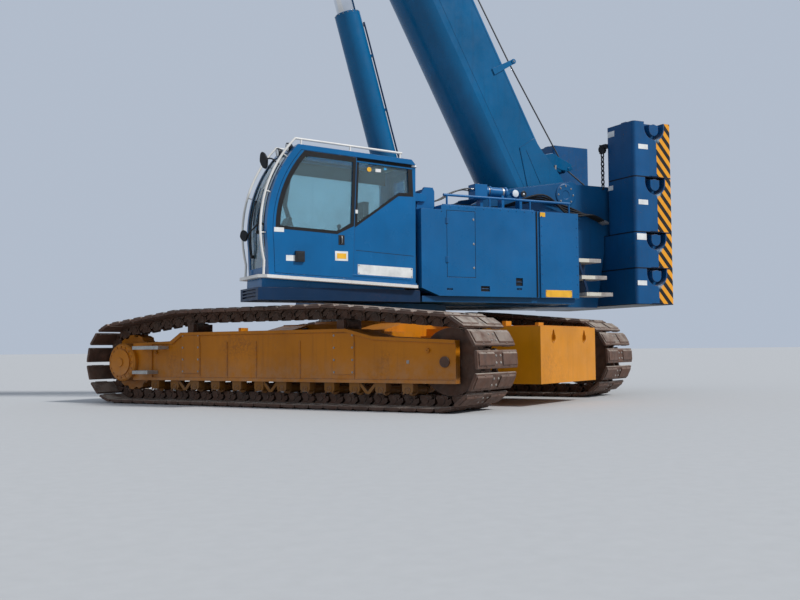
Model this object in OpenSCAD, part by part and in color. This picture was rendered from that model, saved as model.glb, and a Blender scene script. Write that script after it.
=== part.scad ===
// Crawler crane with a telescopic boom, upperworks slewed over the near track.
// Origin: ground point under the slewing axis. +X forward along the upperworks,
// +Y to its left, +Z up. Lengths in millimetres, angles in degrees.

/* [Stance] */
// Angle of the undercarriage about the slewing axis
slew_angle = -60; // [-180:1:180]
// Boom elevation above the horizontal
boom_angle = 61.5; // [40:0.5:75]
// Backward tilt of the cab
cab_tilt = 2.5; // [0:0.5:8]

/* [Tracks] */
// Distance from the slewing axis to the middle of each track
track_offset = 2200; // [2100:10:2400]
// Width of a track shoe
shoe_w = 1100; // [900:10:1140]
// Number of shoes in one track
shoe_count = 61; // [59:1:63]
// Drive wheel centre, ahead of the slewing axis
drive_u = 3300; // [3200:10:3400]
// Idler wheel centre, behind the slewing axis
idler_u = -2600; // [-2700:10:-2500]
// Height of the drive and idler wheel centres
wheel_z = 640; // [620:5:660]
// Height of the carrier roller centres
carrier_z = 1160; // [1150:5:1180]
// Ground to the chain's pin line
pin_height = 120; // [110:1:130]
// Pin line to the running face of the links
link_depth = 80; // [70:1:90]
// Width of the chain
chain_w = 260; // [220:5:300]
// Thickness of a shoe plate under its chamfers
shoe_plate = 60; // [50:1:70]
// Slot between two shoes
shoe_slot = 14; // [8:1:24]

/* [Side frames] */
// Width of a side frame
frame_w = 600; // [560:10:640]
// Underside of the side frame
frame_low = 360; // [340:5:380]
// Top of the side frame at its tall middle
frame_high = 1095; // [1080:5:1110]
// Width of the slot that takes the idler wheel
fork_w = 340; // [300:5:380]

/* [Car body] */
// Top of the car body under the slewing ring
body_top = 1250; // [1200:5:1280]
// Radius of the slewing ring
ring_r = 1050; // [950:5:1120]
// Height of the slewing ring
ring_h = 200; // [180:5:220]
// Width of a car-body ballast box
ballast_w = 2000; // [1800:10:2100]

/* [Upperworks] */
// Half width over the housings
half_w = 1500; // [1450:5:1550]
// Top of the platform floor
floor_top = 1620; // [1600:5:1640]
// Half width of the open channel between the main plates
channel_half = 620; // [600:5:640]
// Thickness of a main side plate
plate_t = 80; // [50:5:100]
// Top of the housings
house_top = 3000; // [2900:10:3060]
// Front edge of the housings
house_front = 86; // [60:2:90]
// Rear edge of the housings
house_rear = -2850; // [-2900:10:-2800]
// Sheet thickness of the housings
house_wall = 40; // [25:5:60]

/* [Counterweight] */
// Front face of the counterweight
weight_front = -4060; // [-4100:10:-4040]
// Rear face of the counterweight
weight_rear = -4900; // [-4950:10:-4860]
// Underside of the lowest slab
weight_low = 1530; // [1510:5:1560]
// Height of a full-width slab
slab_h = 620; // [580:5:640]
// Height of an upper side block
block_h = 955; // [900:5:980]
// Clearance between a main plate and an upper side block
block_gap = 80; // [60:5:120]

/* [Boom] */
// Boom pivot, behind the slewing axis
pivot_x = -3200; // [-3250:10:-3150]
// Boom pivot height
pivot_z = 3450; // [3400:10:3500]
// Width of the base section
boom_w = 950; // [900:10:990]
// Depth of the base section
boom_h = 1150; // [1100:10:1180]
// Plate thickness of the boom sections
boom_wall = 14; // [10:1:20]
// Clearance between one section and the next
boom_gap = 21; // [16:1:26]
// Pivot to the mouth of the base section
boom_len = 10950; // [10600:10:11200]
// How far each section stands out of the one around it
section_step = 190; // [160:5:230]
// Radius of the load sheaves
sheave_r = 250; // [220:5:260]

/* [Luffing cylinder] */
// Foot pin, behind the slewing axis
foot_x = -600; // [-650:10:-550]
// Foot pin height
foot_z = 2000; // [1980:5:2040]
// Outer radius of the barrel
barrel_r = 210; // [190:5:220]
// Radius of the rod
rod_r = 160; // [130:5:170]
// Length of the barrel from its foot pin
barrel_len = 4440; // [4300:10:4450]
// Boom underside to the rod's head pin
head_drop = 270; // [260:5:290]

/* [Cab] */
// Inner side of the cab, left of the boom
cab_inner = 640; // [620:5:660]
// Rear lower corner of the cab, ahead of the slewing axis
cab_x = 168; // [150:2:190]
// Rear lower corner of the cab, height
cab_z = 1760; // [1755:1:1770]
// Length of the cab at its sill
cab_len = 2338; // [2300:2:2380]
// Height of the cab
cab_h = 1887; // [1850:1:1900]
// Wall thickness of the cab
cab_wall = 60; // [45:5:70]
// Thickness of the sliding door
door_t = 36; // [30:2:44]
// Rear edge of the sliding door
door_rear = 1055; // [1040:5:1080]
// Thickness of the panes
pane_t = 8; // [5:1:12]

/* [Hidden] */
$fn = 64;
fit = 0.3;
play = 6;
boom_depth_below = boom_h - 100;
door_gap = 6;

// Undercarriage frame: u towards the drive wheels, v towards the near track.
module in_undercarriage() rotate([0, 0, slew_angle]) children();
// Near and far track frames share one shape, mirrored across the middle.
module on_track(side) in_undercarriage()
    translate([0, side * track_offset, 0]) children();
// A flat (length, height) outline stood up and spread over a width in y.
module stand_up(w) rotate([90, 0, 0]) linear_extrude(w, center = true) children();
// Box between two corners, given in any order.
module slab(x0, x1, y0, y1, z0, z1)
    translate([min(x0, x1), min(y0, y1), min(z0, z1)])
        cube([abs(x1 - x0), abs(y1 - y0), abs(z1 - z0)]);

// Track path: a belt round four wheels, counter-clockwise from the idler.
pin_r = wheel_z - pin_height;
carrier_pin_r = 160;
carrier_front_u = 1950;
carrier_rear_u = -900;
// columns: length place, height, pin-line radius
wheels = [
    [idler_u, wheel_z, pin_r],
    [drive_u, wheel_z, pin_r],
    [carrier_front_u, carrier_z, carrier_pin_r],
    [carrier_rear_u, carrier_z, carrier_pin_r]
];
wheel_n = len(wheels);
function next(i) = (i + 1) % wheel_n;
function prev(i) = (i + wheel_n - 1) % wheel_n;
function gap_v(i) = [wheels[next(i)][0] - wheels[i][0], wheels[next(i)][1] - wheels[i][1]];
function leave(i) = atan2(gap_v(i)[1], gap_v(i)[0])
    - acos((wheels[i][2] - wheels[next(i)][2]) / norm(gap_v(i)));
function wrap(i) = (leave(i) - leave(prev(i)) + 720) % 360;
function arc_len(i) = wheels[i][2] * wrap(i) * PI / 180;
function run_len(i) = sqrt(pow(norm(gap_v(i)), 2)
    - pow(wheels[i][2] - wheels[next(i)][2], 2));
function belt_len(i = 0) = i == wheel_n ? 0 : arc_len(i) + run_len(i) + belt_len(i + 1);
pitch = belt_len() / shoe_count;
// Point and outward angle at a distance s along the pin line.
function locate(s, i = 0) =
    s < arc_len(i)
        ? let (a = leave(prev(i)) + s / wheels[i][2] * 180 / PI)
          [wheels[i][0] + wheels[i][2] * cos(a), wheels[i][1] + wheels[i][2] * sin(a), a]
        : s < arc_len(i) + run_len(i)
            ? let (a = leave(i), t = s - arc_len(i))
              [wheels[i][0] + wheels[i][2] * cos(a) - t * sin(a),
               wheels[i][1] + wheels[i][2] * sin(a) + t * cos(a), a]
            : locate(s - arc_len(i) - run_len(i), next(i));
// Points [along, outward] repeated round the belt, once for each shoe.
function round_belt(form) = [
    for (k = [0:shoe_count - 1])
        let (p = locate(k * pitch))
            for (f = form)
                [p[0] - f[0] * sin(p[2]) + f[1] * cos(p[2]),
                 p[1] + f[0] * cos(p[2]) + f[1] * sin(p[2])]
];
shoe_tip = pin_height;
shoe_edge = shoe_tip - 20;
shoe_foot = shoe_tip - 20 - shoe_plate + 20;
shoe_half = (pitch - shoe_slot) / 2;
shoe_form = [
    [-shoe_half, shoe_foot], [-shoe_half, shoe_edge], [-shoe_half / 2, shoe_tip],
    [shoe_half / 2, shoe_tip], [shoe_half, shoe_edge], [shoe_half, shoe_foot]
];
link_form = [[-70, -link_depth], [70, -link_depth], [pitch / 2, -link_depth + 26]];
module track(side) color("#4a3a32") on_track(side) {
    stand_up(shoe_w) difference() {
        polygon(round_belt(shoe_form));
        polygon(round_belt([[0, shoe_foot - 16]]));
    }
    stand_up(chain_w) difference() {
        polygon(round_belt([[0, shoe_foot - 8]]));
        polygon(round_belt(link_form));
    }
}
module track_near() track(1);
module track_far() track(-1);

idler_r = pin_r - link_depth - fit;
fork_front = idler_u + pin_r + 160;
frame_tail = idler_u - 160;
fork_rear = drive_u - pin_r - 20;
frame_nose = drive_u - 180;
hub_r = 300;
frame_outline = [
    [frame_tail, frame_low], [frame_nose, frame_low], [frame_nose, 940],
    [2300, 965], [2080, frame_high], [-1040, frame_high],
    [-1490, 985], [frame_tail, 920]
];
web_recess = 22;
flange_t = 46;
cover_t = 12;
// columns: start and end along the frame, lower edge, upper edge
covers = [[1690, 2060, 470, frame_high - 20], [-1180, -820, 470, frame_high - 60]];
// Seams between the welded web plates.
seams = [-1185, -250, 560, 1130, 1680];
// Box frame, forked at both ends round its idler wheel and its drive tumbler.
module side_frame(side) color("#c8860a") on_track(side) {
    difference() {
        stand_up(frame_w) polygon(frame_outline);
        for (face = [-1, 1]) translate([0, face * frame_w / 2, 0])
            stand_up(2 * web_recess) polygon([
                [frame_tail - 1, frame_low + flange_t], [frame_nose - 420, frame_low + flange_t],
                [frame_nose - 420, 965 - flange_t], [2260, 965 - flange_t],
                [2050, frame_high - flange_t], [-1030, frame_high - flange_t],
                [-1480, 985 - flange_t], [frame_tail - 1, 920 - flange_t]]);
        translate([frame_tail - 1, -fork_w / 2, frame_low - 1])
            cube([fork_front - frame_tail, fork_w, frame_high]);
        translate([fork_rear, -fork_w / 2, frame_low - 1])
            cube([fork_front - frame_tail, fork_w, frame_high]);
        translate([drive_u, 0, wheel_z]) rotate([90, 0, 0])
            cylinder(r = hub_r + fit, h = frame_w + 10, center = true);
        for (u = [carrier_front_u, carrier_rear_u])
            translate([u - carrier_r - 12, -146, carrier_z - carrier_r - 12])
                cube([2 * carrier_r + 24, 292, 400]);
        translate([idler_u, 0, wheel_z]) rotate([90, 0, 0])
            cylinder(r = 70 + fit, h = frame_w + 10, center = true);
    }
    web_v = frame_w / 2 - web_recess;
    for (c = covers) slab(c[0], c[1], side * (web_v - 1), side * (web_v + cover_t), c[2], c[3]);
    for (u = seams)
        slab(u, u + 16, side * (web_v - 1), side * (web_v + 9), frame_low + flange_t - 2, 940);
}
module side_frame_near() side_frame(1);
module side_frame_far() side_frame(-1);

// Idler wheels turn on a pin in the fork at the tail of each side frame.
module idler_wheels() color("#5a4a40") for (side = [-1, 1])
    on_track(side) translate([idler_u, 0, wheel_z]) rotate([90, 0, 0]) {
        cylinder(r = 70, h = frame_w, center = true);
        cylinder(r = idler_r, h = fork_w - 100, center = true);
        cylinder(r = 150, h = fork_w - 2, center = true);
    }

tooth_n = 13;
hub_out = 100;
// Drive tumblers with teeth and a drum-shaped final drive on the outer side.
module track_drives() color("#a8700c") for (side = [-1, 1])
    on_track(side) translate([drive_u, 0, wheel_z]) rotate([-90 * side, 0, 0]) {
        difference() {
            cylinder(r = idler_r, h = fork_w - 100, center = true);
            for (k = [0:tooth_n - 1]) rotate([0, 0, 360 * (k + 0.5) / tooth_n])
                translate([idler_r + 24, 0, 0]) cylinder(r = 62, h = fork_w, center = true);
        }
        translate([0, 0, -260]) cylinder(r = hub_r, h = 520 + hub_out);
        translate([0, 0, 260 + hub_out]) cylinder(r1 = hub_r, r2 = hub_r - 26, h = 26);
        translate([0, 0, 286 + hub_out]) cylinder(r = hub_r - 90, h = 26);
        translate([0, 0, 312 + hub_out]) cylinder(r = 70, h = 16);
        for (k = [0:15]) rotate([0, 0, 22.5 * k]) translate([hub_r - 56, 0, 285 + hub_out])
            cylinder(r = 15, h = 16, $fn = 6);
    }

roller_n = 12;
roller_first = -2030;
roller_pitch = 425;
roller_low = pin_height + link_depth + fit;
roller_flange = 12;
roller_r = (frame_low - roller_low) / 2 - roller_flange - 1;
block_low = 225;
block_half_u = 85;
guards = [1, 5, 9];
guard_form = [[-40, 0], [40, 0], [150, -118], [262, 0], [342, 0], [290, -30], [180, -150],
    [120, -150], [10, -30]];
// Bottom rollers between pairs of housing blocks hung under the frame.
module track_rollers() color("#7a5a3c") for (side = [-1, 1])
    on_track(side) {
        for (k = [0:roller_n - 1])
            translate([roller_first + k * roller_pitch, 0, 0]) {
                translate([0, 0, roller_low + roller_r]) rotate([90, 0, 0]) {
                    cylinder(r = roller_r, h = 302, center = true);
                    for (end = [-1, 1]) translate([0, 0, end * (chain_w / 2 + 13)])
                        cylinder(r = roller_r + roller_flange, h = 22, center = true);
                }
                for (end = [-1, 1]) translate([0, end * 215, 0])
                    stand_up(130) polygon([[-block_half_u, frame_low], [block_half_u, frame_low],
                        [block_half_u, block_low + 30], [55, block_low], [-55, block_low],
                        [-block_half_u, block_low + 30]]);
            }
        for (k = guards)
            translate([roller_first + (k + 0.5) * roller_pitch - 150, side * 262, frame_low])
                stand_up(22) polygon(guard_form);
    }

carrier_r = carrier_pin_r - link_depth - fit;
// Carrier rollers under the top run, each on two ears on the frame's back.
module carrier_rollers() color("#6a5440") for (side = [-1, 1])
    on_track(side) for (u = [carrier_front_u, carrier_rear_u])
        translate([u, 0, carrier_z]) {
            rotate([90, 0, 0]) cylinder(r = carrier_r, h = 280, center = true);
            rotate([90, 0, 0]) cylinder(r = 45, h = 420, center = true);
            for (end = [-1, 1])
                translate([-60, end * 180 - 30, frame_high - carrier_z])
                    cube([120, 60, carrier_z - frame_high + 60]);
        }

frame_inner = track_offset - frame_w / 2;
end_plate_u = 2200;
ballast_u = 3260;
beam_low = 560;
// Car body: box under the ring, two cross beams to the side frames, end beams.
module car_body() color("#c8860a") in_undercarriage() {
    difference() {
        union() {
            slab(-1150, 1150, -1150, 1150, beam_low, body_top - 40);
            translate([0, 0, body_top - 60]) cylinder(r = ring_r + 60, h = 60);
            for (end = [-1, 1]) {
                for (wing = [-1, 1])
                    translate([end * 900, wing * (frame_inner + 1150) / 2, 0]) {
                        slab(-380, 380, -(frame_inner - 1150) / 2, (frame_inner - 1150) / 2,
                            beam_low, 1060);
                        rotate([90, 0, 90]) linear_extrude(500, center = true) polygon([
                            [-wing * ((frame_inner - 1150) / 2 + 10), 1050],
                            [wing * (frame_inner - 1150) / 2, 1050],
                            [-wing * ((frame_inner - 1150) / 2 + 10), body_top - 50]]);
                    }
                slab(end * 1100, end * end_plate_u, -700, 700, 500, 1000);
                for (v = [-500, 500])
                    slab(end * 1140, end * end_plate_u, v - 25, v + 25, 990, 1110);
            }
        }
        translate([0, 0, 500]) cylinder(r = 420, h = body_top);
        for (end = [-1, 1]) slab(end * 1250, end * 2050, -520, 520, 560, 940);
    }
}
module slew_ring() color("#6d6a66") translate([0, 0, body_top]) difference() {
    cylinder(r = ring_r, h = ring_h - 60);
    translate([0, 0, -1]) cylinder(r = ring_r - 220, h = ring_h);
}
ballast_low = 310;
ballast_high = 1110;
eye_z = 950;
eye_r = 62;
// Ballast boxes hooked on both ends of the car body, with drop-shaped sling eyes.
module carbody_ballast() color("#e0940a") in_undercarriage() for (end = [-1, 1]) {
    difference() {
        slab(end * (end_plate_u + fit), end * ballast_u, -ballast_w / 2, ballast_w / 2,
            ballast_low, ballast_high);
        for (v = [-560, 560]) translate([end * ballast_u, v, eye_z]) rotate([90, 0, 90]) {
            linear_extrude(180, center = true) {
                circle(r = eye_r);
                polygon([[-eye_r + 4, 16], [eye_r - 4, 16], [16, eye_r + 52], [-16, eye_r + 52]]);
            }
        }
    }
    slab(end * (end_plate_u + 60), end * (ballast_u - 60), -ballast_w / 2 + 60,
        ballast_w / 2 - 60, ballast_high - 1, ballast_high + 14);
    for (v = [-560, 560])
        slab(end * (end_plate_u + 300), end * (end_plate_u + 360), v - 90, v + 90,
            ballast_high, ballast_high + 90);
}
step_out = 520;
// Tread plates at the drive end of each side frame, with turned-down edges.
module track_steps() color("#8d8a80") for (side = [-1, 1])
    on_track(side) for (step = [[2330, 2900, 880], [2560, 2900, 500]]) {
        slab(step[0], step[1], side * (frame_w / 2 + fit), side * step_out, step[2], step[2] + 12);
        slab(step[0], step[1], side * (step_out - 12), side * step_out, step[2] - 40, step[2] + 1);
        for (u = [step[0], step[1] - 14])
            slab(u, u + 14, side * (frame_w / 2 + fit), side * step_out, step[2] - 40, step[2] + 1);
    }

floor_low = body_top + ring_h + 50;
plate_outer = channel_half + plate_t;
rear_seat = weight_low + 2 * slab_h;
plate_outline = [
    [1250, floor_low], [1250, 1730], [60, 1730], [0, 2520], [-1860, 3440],
    [-3350, pivot_z + 240], [-3460, pivot_z + 200], [weight_rear + 120, pivot_z + 200],
    [weight_rear + 60, pivot_z + 60], [weight_rear + 60, rear_seat],
    [weight_front + 30, rear_seat],
    [weight_front + 30, 2500], [-3850, floor_low]
];
// columns: foot of the flange, its height, length, slope
plate_flanges = [[-3355, pivot_z + 240, 1515, -9.1], [-1865, 3440, 2090, -26.3]];
drum_x = -4450;
drum_z = 3260;
drum_shaft_r = 70;
pin_hole_r = 110;
pivot_play = 15;
boss_t = channel_half + 10 - boom_w / 2 - pivot_play;
// Main frame: floor on the ring, two tall side plates, boom and cylinder ears.
module upper_frame() color("#16405f") difference() {
    union() {
        translate([0, 0, body_top + ring_h - 60 + fit])
            cylinder(r = ring_r - 20, h = 60 + floor_low - body_top - ring_h + 10);
        slab(-3850, 1250, -plate_outer, plate_outer, floor_low, floor_top);
        slab(-2800, 50, -half_w + 60, half_w - 60, floor_low + 20, floor_top - 10);
        for (side = [-1, 1])
            translate([0, side * (channel_half + plate_t / 2), 0]) stand_up(plate_t)
                polygon(plate_outline);
        for (side = [-1, 1], f = plate_flanges)
            translate([f[0], side * (plate_outer - plate_t / 2), f[1]])
                rotate([0, -f[3], 0]) translate([12, 1 - plate_t / 2, -21])
                    cube([f[2] - 24, plate_t - 2, 27]);
        for (side = [-1, 1])
            translate([pivot_x, side * (boom_w / 2 + pivot_play + boss_t / 2), pivot_z])
                rotate([90, 0, 0]) cylinder(r = 230, h = boss_t, center = true);
        for (side = [-1, 1])
            translate([0, side * (barrel_r + 10 + 30), 0]) {
                stand_up(60) polygon([
                    [foot_x - 350, floor_top - 5], [foot_x + 350, floor_top - 5],
                    [foot_x + 190, foot_z], [foot_x - 190, foot_z]]);
                translate([foot_x, 0, foot_z]) rotate([90, 0, 0])
                    cylinder(r = 190, h = 60, center = true);
            }
    }
    translate([pivot_x, 0, pivot_z]) rotate([90, 0, 0])
        cylinder(r = pin_hole_r, h = 2000, center = true);
    translate([drum_x, 0, drum_z]) rotate([90, 0, 0])
        cylinder(r = drum_shaft_r + 0.05, h = 2000, center = true);
    translate([0, 0, 1300]) cylinder(r = 300, h = 400);
}

// Housing outline (length, height), seen from the left.
house_outline = [
    [house_front, 1728], [house_front - 310, floor_top - 10], [house_rear, floor_top - 10],
    [house_rear, house_top], [house_front - 350, house_top],
    [house_front - 350, house_top - 70], [house_front, house_top - 70]
];
seam_x = -2035;
hatch_line = 7;
// columns: door rear edge, front edge, lower edge, upper edge, panel cut depth
hatch = [-862, -362, 1905, 2920];
// columns: pocket rear edge, front edge, lower edge, upper edge
pockets = [
    [-454, -350, 1702, 1730], [-1121, -957, 1690, 1774],
    [-1741, -1610, 1790, 1914], [-1720, -1626, 1724, 1754]
];
louvre_n = 9;
// Sheet-steel housing, open to the floor that it stands on.
module house(side) color("#1f6ea5") {
    difference() {
        translate([0, side * (plate_outer + half_w) / 2, 0])
            stand_up(half_w - plate_outer) polygon(house_outline);
        slab(house_rear + house_wall, house_front - 330,
            side * (plate_outer + house_wall), side * (half_w - house_wall),
            floor_top - 20, house_top - 70 - house_wall);
        slab(seam_x - 55, seam_x + 55, side * (half_w - 24), side * (half_w + 10), 1500, house_top + 10);
        difference() {
            slab(hatch[0] - hatch_line, hatch[1] + hatch_line, side * (half_w - 10),
                side * (half_w + 10), hatch[2] - hatch_line, hatch[3] + hatch_line);
            slab(hatch[0], hatch[1], side * (half_w - 20), side * (half_w + 20), hatch[2], hatch[3]);
        }
        for (k = pockets)
            slab(k[0], k[1], side * (half_w - 26), side * (half_w + 10), k[2], k[3]);
        if (side < 0) for (k = [0:louvre_n - 1])
            slab(-1850, -1050, -half_w - 10, -half_w + 22, 2020 + k * 90, 2058 + k * 90);
    }
    slab(house_front - 380, seam_x + 60, side * (half_w - 36), side * (half_w - 2),
        house_top - 2, house_top + 16);
    if (side < 0) {
        slab(-2450, -1250, -half_w + 200, -plate_outer - 140, house_top - 2, house_top + 110);
        translate([-900, -1080, house_top - 2]) {
            cylinder(r = 150, h = 90);
            cylinder(r = 88, h = 520);
            translate([0, 0, 470]) rotate([0, -50, 0]) cylinder(r = 84, h = 190);
        }
    } else
        slab(-2700, -2250, plate_outer + 150, half_w - 250, house_top - 2, house_top + 60);
}
module house_left() house(1);
module house_right() house(-1);
fan_x = -2330;
// Engine block, its head and its cooling fan, inside the right housing.
module engine_block() color("#55585a") {
    slab(-2150, -1000, -half_w + 260, -plate_outer - 160, floor_top - 10, 2350);
    slab(-2060, -1090, -half_w + 360, -plate_outer - 260, 2340, 2560);
    slab(fan_x - 60, fan_x + 60, -half_w + 90, -plate_outer - 90, floor_top - 10, 2640);
    translate([fan_x + 50, -(half_w + plate_outer) / 2, 2060]) rotate([0, 90, 0]) {
        cylinder(r = 260, h = 50);
        cylinder(r = 60, h = 200);
    }
}

base_front = 2650;
base_top = 1690;
base_wall = 40;
// Open tray under the cab, with a slotted front face.
module cab_base() color("#123a58") difference() {
    slab(house_front + 8, base_front, plate_outer + fit, half_w - 40, floor_low + 12, base_top);
    slab(house_front + 60, base_front - base_wall, plate_outer + base_wall,
        half_w - 40 - base_wall, floor_low + 50, base_top + 10);
    for (k = [0:2])
        slab(base_front - 30, base_front + 10, plate_outer + 90, half_w - 130,
            1548 + k * 46, 1574 + k * 46);
}
// Ears on the front of the left housing that carry the cab's pivot pin.
tilt_x = -50;
tilt_z = 3120;
ear_t = 50;
arm_t = 40;
ear_y = [cab_inner + 150, half_w - 230];
module tilt_ear() difference() {
    union() {
        polygon([[-262, house_top - 70], [60, house_top - 70],
            [tilt_x + 75, tilt_z - 20], [tilt_x - 40, tilt_z + 170], [-235, tilt_z + 170],
            [-262, tilt_z + 110]]);
        translate([tilt_x, tilt_z]) circle(r = 80);
    }
    translate([tilt_x, tilt_z]) circle(r = 35.05);
}
module cab_bracket() color("#1a5c8c") {
    for (y = ear_y) translate([0, y, 0]) stand_up(ear_t) tilt_ear();
    slab(-262, -232, ear_y[0], ear_y[1], house_top - 70, tilt_z + 100);
    slab(-235, -160, ear_y[0], ear_y[1], tilt_z + 140, tilt_z + 170);
}
rail_z = house_top + 185;
module deck_rails() color("#1f6ea5") for (side = [-1, 1])
    translate([0, side * (half_w - 150), 0]) {
        translate([-2800, 0, rail_z]) rotate([0, 90, 0]) cylinder(r = 20, h = 2410);
        for (x = [-2780, -2000, -1230, -450])
            translate([x, 0, house_top + fit]) cylinder(r = 16, h = rail_z - house_top - fit);
    }
tank_y = 1000;
tank_z = 3330;
// Stepped tank on two legs, with two round lamps behind it.
module deck_cylinder() color("#1f6ea5") {
    slab(-1350, -1120, tank_y - 105, tank_y + 105, tank_z - 120, tank_z + 115);
    translate([-1760, tank_y, tank_z + 20]) rotate([0, 90, 0]) {
        cylinder(r = 78, h = 420);
        cylinder(r = 92, h = 36);
        translate([0, 0, 300]) cylinder(r = 92, h = 36);
    }
    slab(-2130, -1740, tank_y - 20, tank_y + 20, tank_z - 10, tank_z + 30);
    for (lamp = [[-1914, 66], [-2072, 52]])
        translate([lamp[0], tank_y + 15, tank_z + 10]) rotate([-90, 0, 0])
            cylinder(r = lamp[1], h = 60);
    for (x = [-2050, -1700, -1290])
        slab(x, x + 50, tank_y - 60, tank_y + 60, house_top + fit, tank_z);
}
tread_t = 60;
// Step plates between housing and counterweight, on a post at the main frame.
module side_steps() color("#c9ccc4") for (side = [-1, 1]) {
    for (step = [[-3309, -2814, 2210], [-3427, -2909, 1932], [-3547, -3005, 1655]])
        slab(step[0], min(step[1], house_rear - play), side * 1080, side * (half_w - 4),
            step[2], step[2] + tread_t);
    slab(-3300, -3010, side * (plate_outer + fit), side * 1082, 1660, 2268);
    translate([0, side * (half_w - 30), 0]) stand_up(14) polygon([
        [-2898, 2212], [-2858, 2212], [-3030, 1700], [-3070, 1700]]);
}

// Sling pocket open at the block's top, with a D-shaped bollard left standing in it.
pocket_x = -4510;
pocket_w = 430;
pocket_deep = 150;
pocket_h = 300;
bollard_w = 200;
bollard_h = 185;
bollard_drop = 45;
corner_r = 60;
module rounded_plan(x0, x1, y0, y1, r) {
    translate([x0 + r, y0]) square([x1 - x0 - 2 * r, y1 - y0]);
    translate([x0, y0 + r]) square([x1 - x0, y1 - y0 - 2 * r]);
    for (x = [x0 + r, x1 - r], y = [y0 + r, y1 - r]) translate([x, y]) circle(r = r);
}
// A slot with a round foot, hung from the height z1.
module hung_slot(w, h, z1, depth) translate([pocket_x, 0, z1]) stand_up(depth) {
    translate([-w / 2, w / 2 - h]) square([w, h - w / 2 + 1]);
    translate([0, w / 2 - h]) circle(r = w / 2);
}
// One block from y_in out to the side face, with seats and lifting lugs on top.
module weight_body(y0, y1, z0, z1, sides) {
    difference() {
        translate([0, 0, z0]) linear_extrude(z1 - z0)
            rounded_plan(weight_rear, weight_front, y0, y1, corner_r);
        for (side = sides) translate([0, side * half_w, 0]) {
            hung_slot(pocket_w, pocket_h, z1, 2 * pocket_deep);
            translate([pocket_x, 0, z0]) stand_up(60) polygon([
                [-150, -1], [150, -1], [110, 22], [-110, 22]]);
        }
    }
    for (side = sides)
        translate([0, side * (half_w - pocket_deep / 2 - 2), 0])
            hung_slot(bollard_w, bollard_h, z1 - bollard_drop, pocket_deep + 4);
}
module weight_slab_low() color("#1b629a")
    weight_body(-half_w, half_w, weight_low, weight_low + slab_h, [-1, 1]);
module weight_slab_high() color("#1b629a")
    weight_body(-half_w, half_w, weight_low + slab_h, rear_seat, [-1, 1]);
module weight_pair(z0, z1) {
    weight_body(plate_outer + block_gap, half_w, z0, z1, [1]);
    weight_body(-half_w, -plate_outer - block_gap, z0, z1, [-1]);
}
module weight_blocks_low() color("#1b629a") weight_pair(rear_seat, rear_seat + block_h);
module weight_blocks_high() color("#1b629a") {
    weight_pair(rear_seat + block_h, rear_seat + 2 * block_h);
    for (side = [-1, 1], x = [-4760, -4200])
        translate([x, side * (half_w + plate_outer + block_gap) / 2, rear_seat + 2 * block_h])
            stand_up(120)
            polygon([[-70, 0], [70, 0], [50, 45], [-50, 45]]);
}
drum_r = 250;
rim_r = 340;
groove_n = 24;
groove_pitch = 40;
// Hoist drum between the main plates; its shaft runs in their bores.
module hoist_drum() color("#2a2f33") translate([drum_x, 0, drum_z]) rotate([90, 0, 0]) {
    cylinder(r = drum_shaft_r, h = 2 * plate_outer + 20, center = true);
    difference() {
        cylinder(r = drum_r, h = 1000, center = true);
        for (k = [0:groove_n - 1])
            translate([0, 0, (k - (groove_n - 1) / 2) * groove_pitch]) rotate_extrude()
                translate([drum_r + 3, 0]) circle(r = 13, $fn = 16);
    }
    for (z = [-500, 500]) translate([0, 0, z]) difference() {
        cylinder(r = rim_r, h = 30, center = true);
        for (k = [0:5]) rotate([0, 0, 60 * k]) translate([rim_r - 45, 0, 0])
            cylinder(r = 22, h = 40, center = true);
    }
}

// Cab frame of reference: rear lower corner, leaning back by the tilt.
module in_cab() translate([cab_x, 0, cab_z]) rotate([0, -cab_tilt, 0]) children();
module cab_side(y0, y1) translate([0, (y0 + y1) / 2, 0]) stand_up(y1 - y0) children();
bulge_x = cab_len + 57;
bulge_z = 720;
roof_front = cab_len - 362;
front_r = (pow(bulge_x - roof_front, 2) + pow(cab_h - bulge_z, 2)) / (2 * (bulge_x - roof_front));
roof_back = 62;
roof_chamfer = 90;
cab_skin = half_w - door_t - door_gap;
// Everything behind the cab's curved front, moved in by a given inset.
module behind_front(inset) {
    translate([bulge_x - front_r, bulge_z]) circle(r = front_r - inset, $fn = 360);
    polygon([[0, 0], [cab_len - inset, 0], [bulge_x - inset, bulge_z], [0, bulge_z]]);
}
// Cab outline, every edge moved in by a given inset.
module cab_outline(inset) intersection() {
    behind_front(inset);
    polygon([[inset, inset], [bulge_x, inset], [bulge_x, cab_h - inset],
        [roof_back + roof_chamfer + inset, cab_h - inset],
        [roof_back + inset, cab_h - roof_chamfer - inset]]);
}
door_foot = 35;
door_head = cab_h - 80;
module door_outline(inset) intersection() {
    behind_front(95 + inset);
    polygon([[door_rear + inset, door_foot + inset], [bulge_x, door_foot + inset],
        [bulge_x, door_head - inset], [door_rear + inset, door_head - inset]]);
}
sill = 675;
module door_window(inset) intersection() {
    behind_front(150 + inset);
    polygon([[door_rear + 30 + inset, sill + 140 + inset], [door_rear + 270, sill + inset],
        [bulge_x, sill + inset], [bulge_x, door_head - 22 - inset],
        [door_rear + 30 + inset, door_head - 22 - inset]]);
}
module rear_window(inset) polygon([
    [115 + inset, 1362 + inset], [330, 1345 + inset], [door_rear - 28 - inset, sill + 135 + inset],
    [door_rear - 28 - inset, cab_h - 110 - inset], [150 + inset, cab_h - 110 - inset]
]);
module right_window(inset) polygon([
    [260 + inset, sill + inset], [2150 - inset, sill + inset],
    [1930 - inset, cab_h - 130 - inset], [260 + inset, cab_h - 130 - inset]
]);
screen_low = 120;
screen_high = cab_h - 90;
screen_in = cab_inner + 70;
screen_out = cab_skin - 70;
rear_pane = [900, cab_h - 250];
hatch_x = [560, 1640];
skirt = [150, 2400, -200];
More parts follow.
